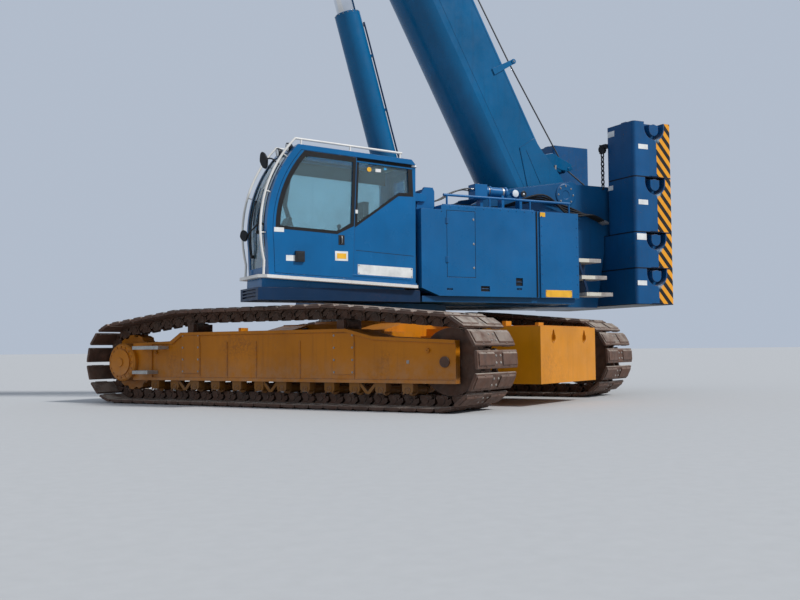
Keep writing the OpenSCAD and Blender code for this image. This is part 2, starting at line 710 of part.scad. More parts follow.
// Cab shell: floor, walls, roof and pillars, with window and door openings.
module cab_frame() color("#1f6ea5") {
    in_cab() difference() {
        union() {
            cab_side(cab_inner, cab_skin) cab_outline(0);
            cab_side(cab_skin - 1, half_w) difference() {
                cab_outline(0);
                door_outline(-door_gap);
                polygon([[-10, door_foot - door_gap], [door_rear + 20, door_foot - door_gap],
                    [door_rear + 20, door_head + door_gap], [-10, door_head + door_gap]]);
            }
            slab(skirt[0], skirt[1], plate_outer + 60, half_w - 100, skirt[2], 5);
        }
        cab_side(cab_inner + cab_wall, cab_skin - cab_wall) cab_outline(cab_wall);
        cab_side(cab_skin - cab_wall - 1, half_w + 1) door_outline(30);
        cab_side(cab_skin - cab_wall - 1, half_w + 1) rear_window(0);
        cab_side(cab_inner - 1, cab_inner + cab_wall + 1) right_window(0);
        slab(roof_front - 200, 3000, screen_in, screen_out, screen_low, screen_high);
        slab(hatch_x[0], hatch_x[1], cab_inner + 160, cab_skin - 160, cab_h - cab_wall - 1, cab_h + 1);
        slab(-10, 400, ear_y[0] + ear_t, ear_y[1] - ear_t, rear_pane[0], rear_pane[1]);
    }
    for (y = [ear_y[0] - ear_t / 2 - arm_t / 2 - fit, ear_y[1] + ear_t / 2 + arm_t / 2 + fit])
        translate([0, y, 0]) stand_up(arm_t) {
            translate([tilt_x, tilt_z]) circle(r = 60);
            translate([tilt_x, tilt_z - 60]) square([260, 120]);
        }
    translate([tilt_x, (ear_y[0] + ear_y[1]) / 2, tilt_z]) rotate([90, 0, 0])
        cylinder(r = 35, h = ear_y[1] - ear_y[0] + ear_t + 2 * arm_t, center = true);
    in_cab() for (z = [door_foot + 40, door_head - 60])
        cab_side(cab_skin - 1, half_w - door_t - fit) intersection() {
            behind_front(40);
            translate([90, z]) square([cab_len, 22]);
        }
}
// Fixed panes: windscreen, roof, rear, rear side and right side.
module cab_glass() color("#5b7f8c", 0.5) in_cab() {
    cab_side(screen_in + fit, screen_out - fit) intersection() {
        difference() {
            cab_outline(12);
            cab_outline(12 + pane_t);
        }
        translate([roof_front - 200, screen_low + fit])
            square([1000, screen_high - screen_low - 2 * fit]);
    }
    slab(hatch_x[0] + fit, hatch_x[1] - fit, cab_inner + 160 + fit, cab_skin - 160 - fit,
        cab_h - 30, cab_h - 30 + pane_t);
    slab(62, 62 + pane_t, ear_y[0] + ear_t + fit, ear_y[1] - ear_t - fit,
        rear_pane[0] + fit, rear_pane[1] - fit);
    cab_side(cab_skin - 20 - pane_t, cab_skin - 20) rear_window(fit);
    cab_side(cab_inner + 20, cab_inner + 20 + pane_t) right_window(fit);
}
seat_y = (cab_inner + cab_skin) / 2;
seat_x = 860;
seat_room = (cab_skin - cab_inner) / 2 - cab_wall;
// Seat with arm consoles and levers, and a dashboard column at the screen.
module cab_seat() color("#2b2d30") in_cab() translate([seat_x, seat_y, 0]) {
    slab(-60, 420, -seat_room + 160, seat_room - 160, cab_wall + fit, 330);
    slab(-110, 470, -seat_room + 92, seat_room - 92, 330, 470);
    for (part = [[-180, -60, seat_room - 108, 440, 1010], [-170, -80, 130, 1000, 1230]])
        slab(part[0], part[1], -part[2], part[2], part[3], part[4]);
    for (side = [-1, 1]) {
        slab(-60, 430, side * (seat_room - 84), side * (seat_room - 8), 600, 680);
        slab(0, 120, side * (seat_room - 96), side * (seat_room - 20), 380, 610);
        translate([380, side * (seat_room - 44), 670]) {
            cylinder(r = 16, h = 110);
            translate([0, 0, 120]) sphere(r = 32, $fn = 24);
        }
    }
    slab(960, 1090, -150, 150, cab_wall + fit, 620);
    slab(930, 1110, -seat_room + 90, seat_room - 150, 610, 700);
}
plate_out = 38;
sill_t = 45;
rail_r = 17;
rail_off = 78;
rail_roof = cab_h + 85;
rail_foot_a = 16;
rail_top_a = ceil(asin((rail_roof - bulge_z) / (front_r + rail_off)));
rail_turn = bulge_x - front_r + sqrt(pow(front_r + rail_off, 2) - pow(rail_roof - bulge_z, 2)) + 4;
sill_wide_x = 1180;
// Sill plate under the cab, roof rails, and guard rails over the windscreen.
module cab_guard() color("#d8dcd6") in_cab() {
    difference() {
        translate([0, 0, -sill_t]) linear_extrude(sill_t - fit) polygon([
            [0, plate_outer + play], [sill_wide_x, plate_outer + play], [sill_wide_x, cab_inner],
            [cab_len + 140, cab_inner], [cab_len + 140, half_w + plate_out],
            [0, half_w + plate_out]]);
        slab(skirt[0] - 6, skirt[1] + 6, plate_outer + 54, half_w - 94, -sill_t - 1, 1);
        translate([cab_len + 160, half_w + plate_out + 60, -100]) rotate([0, 0, 45])
            cube([260, 260, 200], center = true);
    }
    for (y = [screen_in - 40, half_w - 45])
        translate([0, y, 0]) {
            translate([300, 0, rail_roof]) rotate([0, 90, 0])
                cylinder(r = rail_r, h = rail_turn - 300);
            translate([bulge_x - front_r, 0, bulge_z]) rotate([90, 0, 0]) rotate([0, 0, -rail_foot_a])
                rotate_extrude(angle = rail_foot_a + rail_top_a) translate([front_r + rail_off, 0])
                    circle(r = rail_r, $fn = 24);
            translate([bulge_x - front_r + (front_r + rail_off) * cos(rail_foot_a), 0, -fit - 1])
                cylinder(r = rail_r, h = bulge_z - (front_r + rail_off) * sin(rail_foot_a) + 12);
            for (x = [330, 1150, roof_front - 60])
                translate([x, 0, cab_h + fit]) cylinder(r = 13, h = rail_roof - cab_h);
            for (a = [-4, 14, 32])
                translate([bulge_x - front_r, 0, bulge_z]) rotate([0, -a, 0])
                    translate([front_r + fit, 0, 0]) rotate([0, 90, 0])
                        cylinder(r = 9, h = rail_off);
        }
}
module cab_door() color("#1f6ea5") in_cab()
    cab_side(half_w - door_t, half_w) difference() {
        door_outline(0);
        door_window(0);
    }
module cab_door_glass() color("#5b7f8c", 0.5) in_cab()
    cab_side(half_w - 18 - pane_t, half_w - 18) door_window(fit);

// Boom frame of reference: pivot, +X along the boom, +Z out of its back.
module in_boom() translate([pivot_x, 0, pivot_z]) rotate([0, -boom_angle, 0]) children();
boom_back = 100;
nest = boom_wall + boom_gap;
function section_w(i) = boom_w - 2 * (i - 1) * nest;
function section_h(i) = boom_h - 2 * (i - 1) * nest;
function section_top(i) = boom_back - (i - 1) * nest;
// Boom cross section: flat back and sides, rounded belly; grow moves it out.
module boom_profile(i, grow = 0) {
    w = section_w(i) + 2 * grow;
    h = section_h(i) + 2 * grow;
    r = w / 2 + 12;
    translate([0, section_top(i) + grow - h]) {
        intersection() {
            translate([0, r]) circle(r = r);
            translate([-w / 2, 0]) square([w, r]);
        }
        translate([-w / 2, r - 1]) square([w, h - r - 40]);
        translate([-w / 2 + 40, h - 60]) square([w - 80, 60]);
        for (x = [-1, 1]) translate([x * (w / 2 - 40), h - 41]) circle(r = 40);
    }
}
// A length of profile laid along the boom.
module along(s0, s1) translate([s0, 0, 0]) rotate([90, 0, 90]) linear_extrude(s1 - s0) children();
module tube(i, s0, s1) along(s0, s1) difference() {
    boom_profile(i);
    boom_profile(i, -boom_wall);
}
slide_fit = 0.8;
section_tail = 420;
tail_step = 60;
collar_len = 120;
collar_out = 30;
function tail(i) = section_tail + (i - 2) * tail_step;
function mouth(i) = boom_len + (i - 1) * section_step;
module mouth_collar(i) along(mouth(i) - collar_len, mouth(i)) difference() {
    boom_profile(i, collar_out - (i - 1) * 2);
    boom_profile(i + 1, slide_fit);
}
module tail_pad(i) along(tail(i), tail(i) + 150) difference() {
    boom_profile(i, boom_gap - slide_fit);
    boom_profile(i, -boom_wall);
}
module boom_section(i) color("#1b629a") in_boom() {
    tube(i, tail(i), mouth(i));
    tail_pad(i);
    if (i < 6) mouth_collar(i);
}
head_pin_s = 7276;
head_pin_n = boom_back - boom_h - head_drop;
eye_half = 165;
ear_root = 100;
foot_plate_t = 10;
guide_s = 2440;
guide_n = 310;
roller_s = 300;
roller_n_off = 650;
// Doubler plates on both sides of the boom's foot, standing above its back.
foot_plate = [
    [-230, -420], [300, -520], [1080, -300], [1100, boom_back - 50],
    [800, boom_back + 6], [620, boom_back + 60], [240, boom_back + 150],
    [-140, boom_back + 110]
];
// Arm that carries the hoist rope's lead roller behind the foot.
roller_arm = [
    [620, boom_back - 5], [800, boom_back - 5], [740, 280], [690, 460], [350, 735],
    [250, 730], [240, 650], [345, 490], [530, 305]
];
module head_ear() {
    polygon([[head_pin_s - 620, head_pin_n + head_drop + ear_root],
        [head_pin_s + 560, head_pin_n + head_drop + ear_root],
        [head_pin_s + 420, head_pin_n + head_drop - 30],
        [head_pin_s + 150, head_pin_n - 60], [head_pin_s - 150, head_pin_n - 60],
        [head_pin_s - 480, head_pin_n + head_drop - 30]]);
    translate([head_pin_s, head_pin_n]) circle(r = 165);
}
// Base section: closed foot with its pivot tube, cylinder ears, rope guides.
module boom_base() color("#1b629a") in_boom() {
    difference() {
        union() {
            along(-260, mouth(1)) boom_profile(1);
            for (side = [-1, 1]) {
                translate([0, side * (boom_w / 2 + foot_plate_t / 2 - 2), 0])
                    stand_up(foot_plate_t + 4) polygon(foot_plate);
                translate([0, side * (eye_half + fit + 45), 0]) stand_up(90) head_ear();
            }
        }
        along(-200, mouth(1) + 1) boom_profile(1, -boom_wall);
    }
    mouth_collar(1);
    for (side = [-1, 1]) {
        translate([0, side * 90, 0]) stand_up(24) polygon(roller_arm);
        translate([0, side * (boom_w / 2 + 8), 0]) stand_up(20)
            polygon([[guide_s - 60, -160], [guide_s + 50, -160],
                [guide_s + 40, guide_n + 20], [guide_s - 40, guide_n + 20]]);
    }
    rotate([90, 0, 0]) cylinder(r = 230, h = boom_w, center = true);
    rotate([90, 0, 0]) cylinder(r = pin_hole_r - 0.05, h = 2 * plate_outer + 20, center = true);
    translate([head_pin_s, 0, head_pin_n]) rotate([90, 0, 0])
        cylinder(r = 80, h = 2 * eye_half + 240, center = true);
    translate([guide_s, 0, guide_n]) rotate([90, 0, 0]) cylinder(r = 26, h = boom_w + 30, center = true);
    translate([roller_s, 0, roller_n_off]) rotate([90, 0, 0]) {
        cylinder(r = 26, h = 230, center = true);
        cylinder(r = 62, h = 150, center = true);
    }
    for (s = [3200, 5600, 8000])
        translate([s, 0, boom_back - 1]) slab(-30, 30, -boom_w / 2 + 60, boom_w / 2 - 60, 0, 12);
}
module boom_section_2() boom_section(2);
module boom_section_3() boom_section(3);
module boom_section_4() boom_section(4);
module boom_section_5() boom_section(5);
sheave_s = 12400;
sheave_n = -1230;
head_half = section_w(6) / 2;
lead_s = mouth(6) + 300;
lead_n = section_top(6) + 40;
lead_r = 210;
jib_s = mouth(6) + 420;
jib_n = -560;
jib_r = 40;
cheek_s = mouth(5) + 15;
// Cheek plate of the boom head, from the section's mouth out to both sheave sets.
head_cheek = [
    [cheek_s, section_top(6) - 30], [mouth(6) - 60, section_top(6) - 5],
    [lead_s - 130, lead_n + 110], [lead_s + 110, lead_n + 110],
    [mouth(6) + 560, section_top(6) - 200], [sheave_s + 170, sheave_n + 300],
    [sheave_s + 175, sheave_n], [sheave_s - 175, sheave_n - 20],
    [mouth(6) + 60, section_top(6) - section_h(6) + 20],
    [cheek_s, section_top(6) - section_h(6) + head_half]
];
// Innermost section with the two cheek plates of the boom head.
module boom_section_6() color("#1b629a") {
    boom_section(6);
    in_boom() {
        for (side = [-1, 1])
            translate([0, side * (head_half - 17), 0]) stand_up(34) difference() {
                union() {
                    polygon(head_cheek);
                    translate([sheave_s, sheave_n]) circle(r = 175);
                    translate([jib_s, jib_n]) circle(r = 90);
                }
                translate([sheave_s, sheave_n]) circle(r = 60.05);
                translate([lead_s, lead_n]) circle(r = 50.05);
                translate([jib_s, jib_n]) circle(r = jib_r);
            }
        for (tie = [[mouth(6) + 480, -390], [mouth(6) + 210, -700], [mouth(6) + 60, -240]])
            translate([tie[0], 0, tie[1]]) rotate([90, 0, 0])
                cylinder(r = 45, h = 2 * head_half - 30, center = true);
    }
}
groove_depth = 20;
// Grooved sheave, turned from one profile: hub, web and rim.
module sheave(r, w) rotate_extrude() polygon([
    [0, -w / 2], [r * 0.36, -w / 2], [r * 0.4, -w / 5], [r * 0.78, -w / 5],
    [r * 0.82, -w / 2], [r, -w / 2], [r - groove_depth, 0], [r, w / 2], [r * 0.82, w / 2],
    [r * 0.78, w / 5], [r * 0.4, w / 5], [r * 0.36, w / 2], [0, w / 2]
]);
module head_sheaves() color("#2a2f33") in_boom() {
    translate([sheave_s, 0, sheave_n]) rotate([90, 0, 0]) {
        cylinder(r = 60, h = 2 * head_half, center = true);
        for (z = sheave_rows) translate([0, 0, z]) sheave(sheave_r, sheave_w);
    }
    translate([lead_s, 0, lead_n]) rotate([90, 0, 0]) {
        cylinder(r = 50, h = 2 * head_half, center = true);
        sheave(lead_r, sheave_w);
    }
}
sheave_w = 60;
sheave_rows = [-130, 0, 130];

// Cylinder frame of reference: foot pin, +X towards the head pin on the boom.
head_x = pivot_x + head_pin_s * cos(boom_angle) - head_pin_n * sin(boom_angle);
head_z = pivot_z + head_pin_s * sin(boom_angle) + head_pin_n * cos(boom_angle);
cyl_angle = atan2(head_z - foot_z, head_x - foot_x);
cyl_len = norm([head_x - foot_x, head_z - foot_z]);
rod_len = 4500;
bore_r = barrel_r - 25;
module in_cylinder() translate([foot_x, 0, foot_z]) rotate([0, -cyl_angle, 0]) children();
module rod_piece(r, x0, x1) translate([x0, 0, 0]) rotate([0, 90, 0]) cylinder(r = r, h = x1 - x0);
// Rod with its piston and the eye on the boom's head pin.
module cylinder_rod() color("#c8ccd0") in_cylinder() difference() {
    union() {
        rod_piece(rod_r, cyl_len - rod_len, cyl_len - 60);
        rod_piece(bore_r - 0.05, cyl_len - rod_len, cyl_len - rod_len + 160);
        translate([cyl_len, 0, 0]) rotate([90, 0, 0])
            cylinder(r = 200, h = 2 * eye_half, center = true);
    }
    translate([cyl_len, 0, 0]) rotate([90, 0, 0])
        cylinder(r = 80.05, h = 2 * eye_half + 10, center = true);
}
// Barrel with its gland collar and foot eye between the main frame's ears.
module cylinder_barrel() color("#1b629a") in_cylinder() difference() {
    union() {
        rod_piece(barrel_r, 140, barrel_len);
        rotate([90, 0, 0]) cylinder(r = 180, h = 2 * barrel_r - 20, center = true);
    }
    rod_piece(bore_r, 230, barrel_len - 180);
    rod_piece(rod_r + 0.05, 300, barrel_len + 10);
    rotate([90, 0, 0]) cylinder(r = 75, h = 500, center = true);
}

sheave_x = pivot_x + sheave_s * cos(boom_angle) - sheave_n * sin(boom_angle);
sheave_z = pivot_z + sheave_s * sin(boom_angle) + sheave_n * cos(boom_angle);
rope_r = 12;
drop = 1000;
fall_x = sheave_r - groove_depth + 1.2 * rope_r + fit;
cheek_t = 26;
// Hook block on its falls, plumb below the load sheaves.
module hook_block() color("#2a2f33") translate([sheave_x, 0, sheave_z]) {
    for (y = sheave_rows, x = [-fall_x, fall_x])
        translate([x, y, -drop]) cylinder(r = rope_r, h = drop);
    translate([0, 0, -drop]) rotate([90, 0, 0]) {
        for (y = sheave_rows) translate([0, 0, y]) {
            sheave(sheave_r, sheave_w);
            cylinder(r = sheave_r + 8, h = 12, center = true);
        }
        cylinder(r = 55, h = 470, center = true);
    }
    for (y = [-195, -65, 65, 195])
        translate([0, y, 0]) stand_up(cheek_t) difference() {
            union() {
                translate([0, -drop]) circle(r = 150);
                polygon([[-150, -drop], [-60, -drop + 250], [60, -drop + 250],
                    [150, -drop], [100, -drop - 330], [-100, -drop - 330]]);
            }
        }
    slab(-105, 105, -208, 208, -drop - 400, -drop - 300);
    translate([0, 0, -drop - 560]) cylinder(r = 48, h = 180);
    translate([0, 0, -drop - 430]) cylinder(r = 85, h = 40);
    translate([0, 0, -drop - 700]) stand_up(84) hook_form();
}
hook_r = 175;
throat_r = 88;
// Single hook: thick bowl, open throat and a blunt tip.
module hook_form() {
    difference() {
        circle(r = hook_r);
        translate([8, 18]) circle(r = throat_r);
        translate([8, 18]) square([hook_r + 40, hook_r + 20]);
    }
    translate([-48, 90]) square([96, 70]);
    translate([8 + (throat_r + hook_r - 8) / 2, 18]) circle(r = (hook_r - 8 - throat_r) / 2);
}

car_body();
slew_ring();
side_frame_near();
side_frame_far();
track_near();
track_far();
track_drives();
idler_wheels();
track_rollers();
carrier_rollers();
carbody_ballast();
track_steps();
upper_frame();
house_left();
house_right();
engine_block();
cab_base();
cab_bracket();
deck_rails();
deck_cylinder();
side_steps();
weight_slab_low();
weight_slab_high();
weight_blocks_low();
weight_blocks_high();
hoist_drum();
cab_frame();
cab_glass();
cab_seat();
cab_guard();
cab_door();
cab_door_glass();
boom_base();
boom_section_2();
boom_section_3();
boom_section_4();
boom_section_5();
boom_section_6();
head_sheaves();
cylinder_rod();
cylinder_barrel();
hook_block();
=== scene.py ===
import bpy, bmesh, math
from mathutils import Matrix, Vector


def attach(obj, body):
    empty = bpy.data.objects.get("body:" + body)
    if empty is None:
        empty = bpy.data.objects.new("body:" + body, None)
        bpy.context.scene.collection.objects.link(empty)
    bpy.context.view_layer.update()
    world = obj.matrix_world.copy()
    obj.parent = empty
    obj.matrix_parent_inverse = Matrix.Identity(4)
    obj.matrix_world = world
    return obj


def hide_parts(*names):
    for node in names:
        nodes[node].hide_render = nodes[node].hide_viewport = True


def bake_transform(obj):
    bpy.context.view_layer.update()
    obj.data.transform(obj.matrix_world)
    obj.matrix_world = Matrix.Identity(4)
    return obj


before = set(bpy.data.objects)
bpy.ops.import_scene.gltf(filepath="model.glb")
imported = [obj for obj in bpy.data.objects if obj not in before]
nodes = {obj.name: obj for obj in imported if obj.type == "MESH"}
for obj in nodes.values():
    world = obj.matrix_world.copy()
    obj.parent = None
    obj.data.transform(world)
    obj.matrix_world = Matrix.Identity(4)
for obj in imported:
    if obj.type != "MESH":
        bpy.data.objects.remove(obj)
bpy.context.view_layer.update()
scene = bpy.context.scene
scene.view_settings.view_transform = "Standard"

# The photograph's standpoint: ahead and to the left of the machine, at eye height, looking
# slightly up. The focal length is given in pixels of the photograph's width.
FOCAL_PIXELS, WIDTH_PIXELS, SENSOR, FAR_SIGHT = 980.0, 800.0, 36.0, 400.0
STANDPOINT, LOOK = (7.11, 14.39, 0.814), (92.850, 0.539, 152.727)
camera_data = bpy.data.cameras.new("camera")
camera_data.sensor_width = SENSOR
camera_data.lens = FOCAL_PIXELS / WIDTH_PIXELS * SENSOR
camera_data.clip_end = FAR_SIGHT
camera = bpy.data.objects.new("camera", camera_data)
camera.location = STANDPOINT
camera.rotation_euler = [math.radians(a) for a in LOOK]
scene.collection.objects.link(camera)
scene.camera = camera

# Tracks: two endless belts of cast shoes on forged links with bushed eyes. Each shoe is a
# ribbed plate bolted across its link, with two raised pads that rub bright and hold dust.
RUST = (0.13, 0.045, 0.018)


class Shader:
    """A finish made of noise in the machine's own coordinates, so that nothing slides."""

    def __init__(self, name):
        self.material = bpy.data.materials.new(name)
        self.material.use_nodes = True
        self.tree = self.material.node_tree
        self.shader = self.tree.nodes["Principled BSDF"]
        self.place = self.tree.nodes.new("ShaderNodeTexCoord").outputs["Object"]
        self.normal = self.tree.nodes.new("ShaderNodeNewGeometry").outputs["Normal"]

    def join(self, source, socket):
        """Links a socket, or sets a value; None leaves it as it is."""
        if isinstance(source, bpy.types.NodeSocket):
            self.tree.links.new(source, socket)
        elif source is not None:
            socket.default_value = source

    def tint(self, source, socket):
        """Links or sets a colour."""
        self.join(source if isinstance(source, bpy.types.NodeSocket) else (*source, 1.0), socket)

    def stretch(self, x, y, z):
        """The machine's coordinates, scaled along each axis."""
        node = self.tree.nodes.new("ShaderNodeMapping")
        self.join(self.place, node.inputs["Vector"])
        node.inputs["Scale"].default_value = (x, y, z)
        return node.outputs["Vector"]

    def noise(self, scale, detail=4.0, roughness=0.55, vector=None):
        node = self.tree.nodes.new("ShaderNodeTexNoise")
        self.join(vector or self.place, node.inputs["Vector"])
        for name, number in (("Scale", scale), ("Detail", detail), ("Roughness", roughness)):
            node.inputs[name].default_value = number
        return node.outputs["Fac"]

    def span(self, value, low, high, out_low=0.0, out_high=1.0):
        """Maps one range to another and clips at both ends."""
        node = self.tree.nodes.new("ShaderNodeMapRange")
        self.join(value, node.inputs["Value"])
        for name, number in (("From Min", low), ("From Max", high), ("To Min", out_low),
                             ("To Max", out_high)):
            node.inputs[name].default_value = number
        return node.outputs["Result"]

    def cloud(self, scale, detail, low, high, out_low=0.0, out_high=1.0, roughness=0.55, vector=None):
        """Noise cut to patches: out_low below one level, out_high above the other."""
        return self.span(self.noise(scale, detail, roughness, vector), low, high, out_low, out_high)

    def calc(self, kind, a, b=None):
        node = self.tree.nodes.new("ShaderNodeMath")
        node.operation = kind
        self.join(a, node.inputs[0])
        self.join(b, node.inputs[1])
        return node.outputs["Value"]

    def times(self, a, b):
        return self.calc("MULTIPLY", a, b)

    def most(self, a, b):
        return self.calc("MAXIMUM", a, b)

    def mix(self, amount, a, b):
        """Colour a, covered by colour b as far as amount says."""
        node = self.tree.nodes.new("ShaderNodeMix")
        node.data_type = "RGBA"
        self.join(amount, node.inputs["Factor"])
        self.tint(a, node.inputs["A"])
        self.tint(b, node.inputs["B"])
        return node.outputs["Result"]

    def axis(self, vector, name):
        """X, Y or Z of a vector."""
        node = self.tree.nodes.new("ShaderNodeSeparateXYZ")
        self.join(vector, node.inputs["Vector"])
        return node.outputs[name]

    def soft_normal(self, radius):
        """The surface's direction, rounded over its edges."""
        node = self.tree.nodes.new("ShaderNodeBevel")
        node.samples = 4
        node.inputs["Radius"].default_value = radius
        return node.outputs["Normal"]

    def edges(self, radius):
        """1 on corners and edges of the form, 0 on its open faces."""
        dot = self.tree.nodes.new("ShaderNodeVectorMath")
        dot.operation = "DOT_PRODUCT"
        self.join(self.soft_normal(radius), dot.inputs[0])
        self.join(self.normal, dot.inputs[1])
        return self.span(dot.outputs["Value"], 0.995, 0.85)

    def finish(self, colour, roughness, height, strength, distance, round_edge=0.004):
        """Joins colour, roughness and relief, and returns the material."""
        self.tint(colour, self.shader.inputs["Base Color"])
        self.join(roughness, self.shader.inputs["Roughness"])
        bump = self.tree.nodes.new("ShaderNodeBump")
        bump.inputs["Strength"].default_value = strength
        bump.inputs["Distance"].default_value = distance
        self.join(height, bump.inputs["Height"])
        self.join(self.soft_normal(round_edge), bump.inputs["Normal"])
        self.join(bump.outputs["Normal"], self.shader.inputs["Normal"])
        return self.material


def shade(colour, amount):
    """A colour made darker or lighter."""
    return [c * amount for c in colour]


def iron(name, colour, rust_amount=0.5, dust=0.5, rough=0.62, bump=0.45):
    """Bare cast or rolled steel, oxidised, polished where it rubs, dusty on top."""
    s = Shader(name)
    tone = s.mix(s.cloud(9.0, 7.0, 0.32, 0.68, roughness=0.65), shade(colour, 0.65), shade(colour, 1.3))
    tone = s.mix(s.cloud(3.1, 6.0, 0.42, 0.66, 0.0, rust_amount, 0.7), tone, RUST)
    polish = s.times(s.edges(0.010), s.cloud(20.0, 4.0, 0.4, 0.6, 0.0, 0.55))
    tone = s.mix(polish, tone, (0.33, 0.30, 0.27))
    lying = s.times(s.span(s.axis(s.normal, "Z"), 0.15, 0.9), s.cloud(6.0, 6.0, 0.28, 0.6, 0.0, dust, 0.65))
    tone = s.mix(lying, tone, (0.42, 0.37, 0.31))
    s.shader.inputs["Metallic"].default_value = 0.25
    pits = s.calc("ADD", s.noise(60.0, 6.0, 0.75), s.times(s.noise(11.0, 4.0), 1.2))
    return s.finish(tone, s.cloud(14.0, 4.0, 0.3, 0.7, rough - 0.14, rough + 0.16), pits, bump, 0.004)


chain_iron = iron("chain_iron", (0.10, 0.056, 0.036), rust_amount=0.6, dust=0.55)
shoe_iron = iron("shoe_iron", (0.108, 0.062, 0.044), rust_amount=0.45, dust=0.8, rough=0.7)
worn_steel = iron("worn_steel", (0.34, 0.31, 0.28), rust_amount=0.2, dust=0.7, rough=0.45, bump=0.25)


def at(x=0.0, y=0.0, z=0.0, turn=0.0, axis="X", base=Matrix()):
    """A place in a frame, turned by degrees about one of its axes."""
    return base @ Matrix.Translation((x, y, z)) @ Matrix.Rotation(math.radians(turn), 4, axis)


def spot(place, *local):
    """A point given in a place's own axes."""
    return place @ Vector(local)


def heading(place, *local):
    """A direction given in a place's own axes."""
    return place.to_3x3() @ Vector(local)


def facing(point, direction):
    """A place at a point, its local Z along a direction."""
    return Matrix.Translation(point) @ Vector(direction).to_track_quat("Z", "Y").to_matrix().to_4x4()


def round_points(count):
    """Cosine and sine of even turns round a circle."""
    return [(math.cos(a), math.sin(a)) for a in [2 * math.pi * k / count for k in range(count)]]


# Each form helper returns (corners, faces), and made() joins several into one mesh.
def moved(corners, faces, place):
    """A form set in its place."""
    return [place @ Vector(v) for v in corners], faces


def block(x0, x1, y0, y1, z0, z1, place=Matrix()):
    """A box between its six limits."""
    v = [(x, y, z) for z in (z0, z1) for y in (y0, y1) for x in (x0, x1)]
    f = [(0, 2, 3, 1), (4, 5, 7, 6), (0, 1, 5, 4), (2, 6, 7, 3), (0, 4, 6, 2), (1, 3, 7, 5)]
    return moved(v, f, place)


def slab(outline, y0, y1, place=Matrix()):
    """An (x, z) outline spread from y0 to y1."""
    n = len(outline)
    v = [(x, y, z) for y in (y0, y1) for x, z in outline]
    f = [tuple(range(n)), tuple(range(2 * n - 1, n - 1, -1))]
    f += [(i, i + n, (i + 1) % n + n, (i + 1) % n) for i in range(n)]
    return moved(v, f, place)


def lathe(profile, place, steps):
    """Turned form: (radius, height) points round the local Z, closed at both ends."""
    n = len(profile)
    v = [(r * c, r * s, h) for c, s in round_points(steps) for r, h in profile]
    f = [(k * n + i, ((k + 1) % steps) * n + i, ((k + 1) % steps) * n + i + 1, k * n + i + 1)
         for k in range(steps) for i in range(n - 1)]
    f += [tuple(k * n for k in reversed(range(steps))), tuple(k * n + n - 1 for k in range(steps))]
    return moved(v, f, place)


def sleeve(hole, r, z0, z1):
    """Profile of a plain ring or pin."""
    return [(hole, z0), (r, z0), (r, z1), (hole, z1)]


def chamfered(hole, r, z1, r_top, z2, z0=0.0):
    """Profile of a cap that narrows from r to r_top over its last step."""
    return [(hole, z0), (r, z0), (r, z1), (r_top, z2), (hole, z2)]


WASHER = 0.004


def bolt(point, direction, r, h):
    """Hexagon head on a washer."""
    place = facing(point, direction)
    return [lathe(sleeve(r * 0.3, r * 1.35, 0.0, WASHER), place, 14),
            lathe(chamfered(r * 0.2, r, h * 0.8, r * 0.86, h, WASHER), place, 6)]


SMOOTH_UP_TO, BEVEL_FROM = 38, 40


def made(name, parts, material, body, bevel=0.0, smooth=False, replace=()):
    """Joins parts into one mesh that rides on a CAD body, or on none yet where body is None."""
    mesh = bpy.data.meshes.new(name)
    v, f = [], []
    for corners, faces in parts:
        start = len(v)
        v += [tuple(c) for c in corners]
        f += [tuple(i + start for i in face) for face in faces]
    mesh.from_pydata(v, [], f)
    bm = bmesh.new()
    bm.from_mesh(mesh)
    bmesh.ops.recalc_face_normals(bm, faces=bm.faces)
    bm.to_mesh(mesh)
    bm.free()
    for polygon in mesh.polygons:
        polygon.use_smooth = smooth
    mesh.materials.append(material)
    thing = bpy.data.objects.new(name, mesh)
    scene.collection.objects.link(thing)
    if smooth:
        split = thing.modifiers.new("edges", "EDGE_SPLIT")
        split.split_angle = math.radians(SMOOTH_UP_TO)
    if bevel:
        edge = thing.modifiers.new("bevel", "BEVEL")
        edge.width = bevel
        edge.segments = 2
        edge.limit_method = "ANGLE"
        edge.angle_limit = math.radians(BEVEL_FROM)
    if body:
        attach(thing, body)
    if replace:
        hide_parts(*replace)
    return thing


SLEW_TURN = -60.0
TRACK_Y = 2.2
UNDER = at(turn=SLEW_TURN, axis="Z")
# Idler, drive and the two carrier rollers that the belt runs round: X, Z and pitch radius.
BELT_WHEELS = [(-2.6, 0.64, 0.52), (3.3, 0.64, 0.52), (1.95, 1.16, 0.16), (-0.9, 1.16, 0.16)]
SHOES, SHOE_GAP, SHOE_REACH, PAD_TOP = 61, 0.014, 0.55, 0.1187


def belt_places(count):
    """Place and outward angle of each track pin, along the belt round its four wheels."""
    legs = []
    for i, (x, z, r) in enumerate(BELT_WHEELS):
        x2, z2, r2 = BELT_WHEELS[(i + 1) % 4]
        reach = math.hypot(x2 - x, z2 - z)
        turn = math.atan2(z2 - z, x2 - x) - math.acos((r - r2) / reach)
        legs.append((turn, math.sqrt(reach ** 2 - (r - r2) ** 2)))
    runs = []
    for i, (x, z, r) in enumerate(BELT_WHEELS):
        start = legs[i - 1][0]
        runs.append((x, z, r, start, r * ((legs[i][0] - start) % (2 * math.pi)), legs[i][1]))
    whole = sum(arc + straight for *_, arc, straight in runs)
    places = []
    for k in range(count):
        s = whole * k / count
        for x, z, r, start, arc, straight in runs:
            if s < arc:
                a = start + s / r
                places.append((x + r * math.cos(a), z + r * math.sin(a), a))
                break
            if s < arc + straight:
                a, t = start + arc / r, s - arc
                places.append((x + r * math.cos(a) - t * math.sin(a),
                               z + r * math.sin(a) + t * math.cos(a), a))
                break
            s -= arc + straight
    return places, whole / count


track_pins, pitch = belt_places(SHOES)
half = (pitch - SHOE_GAP) / 2
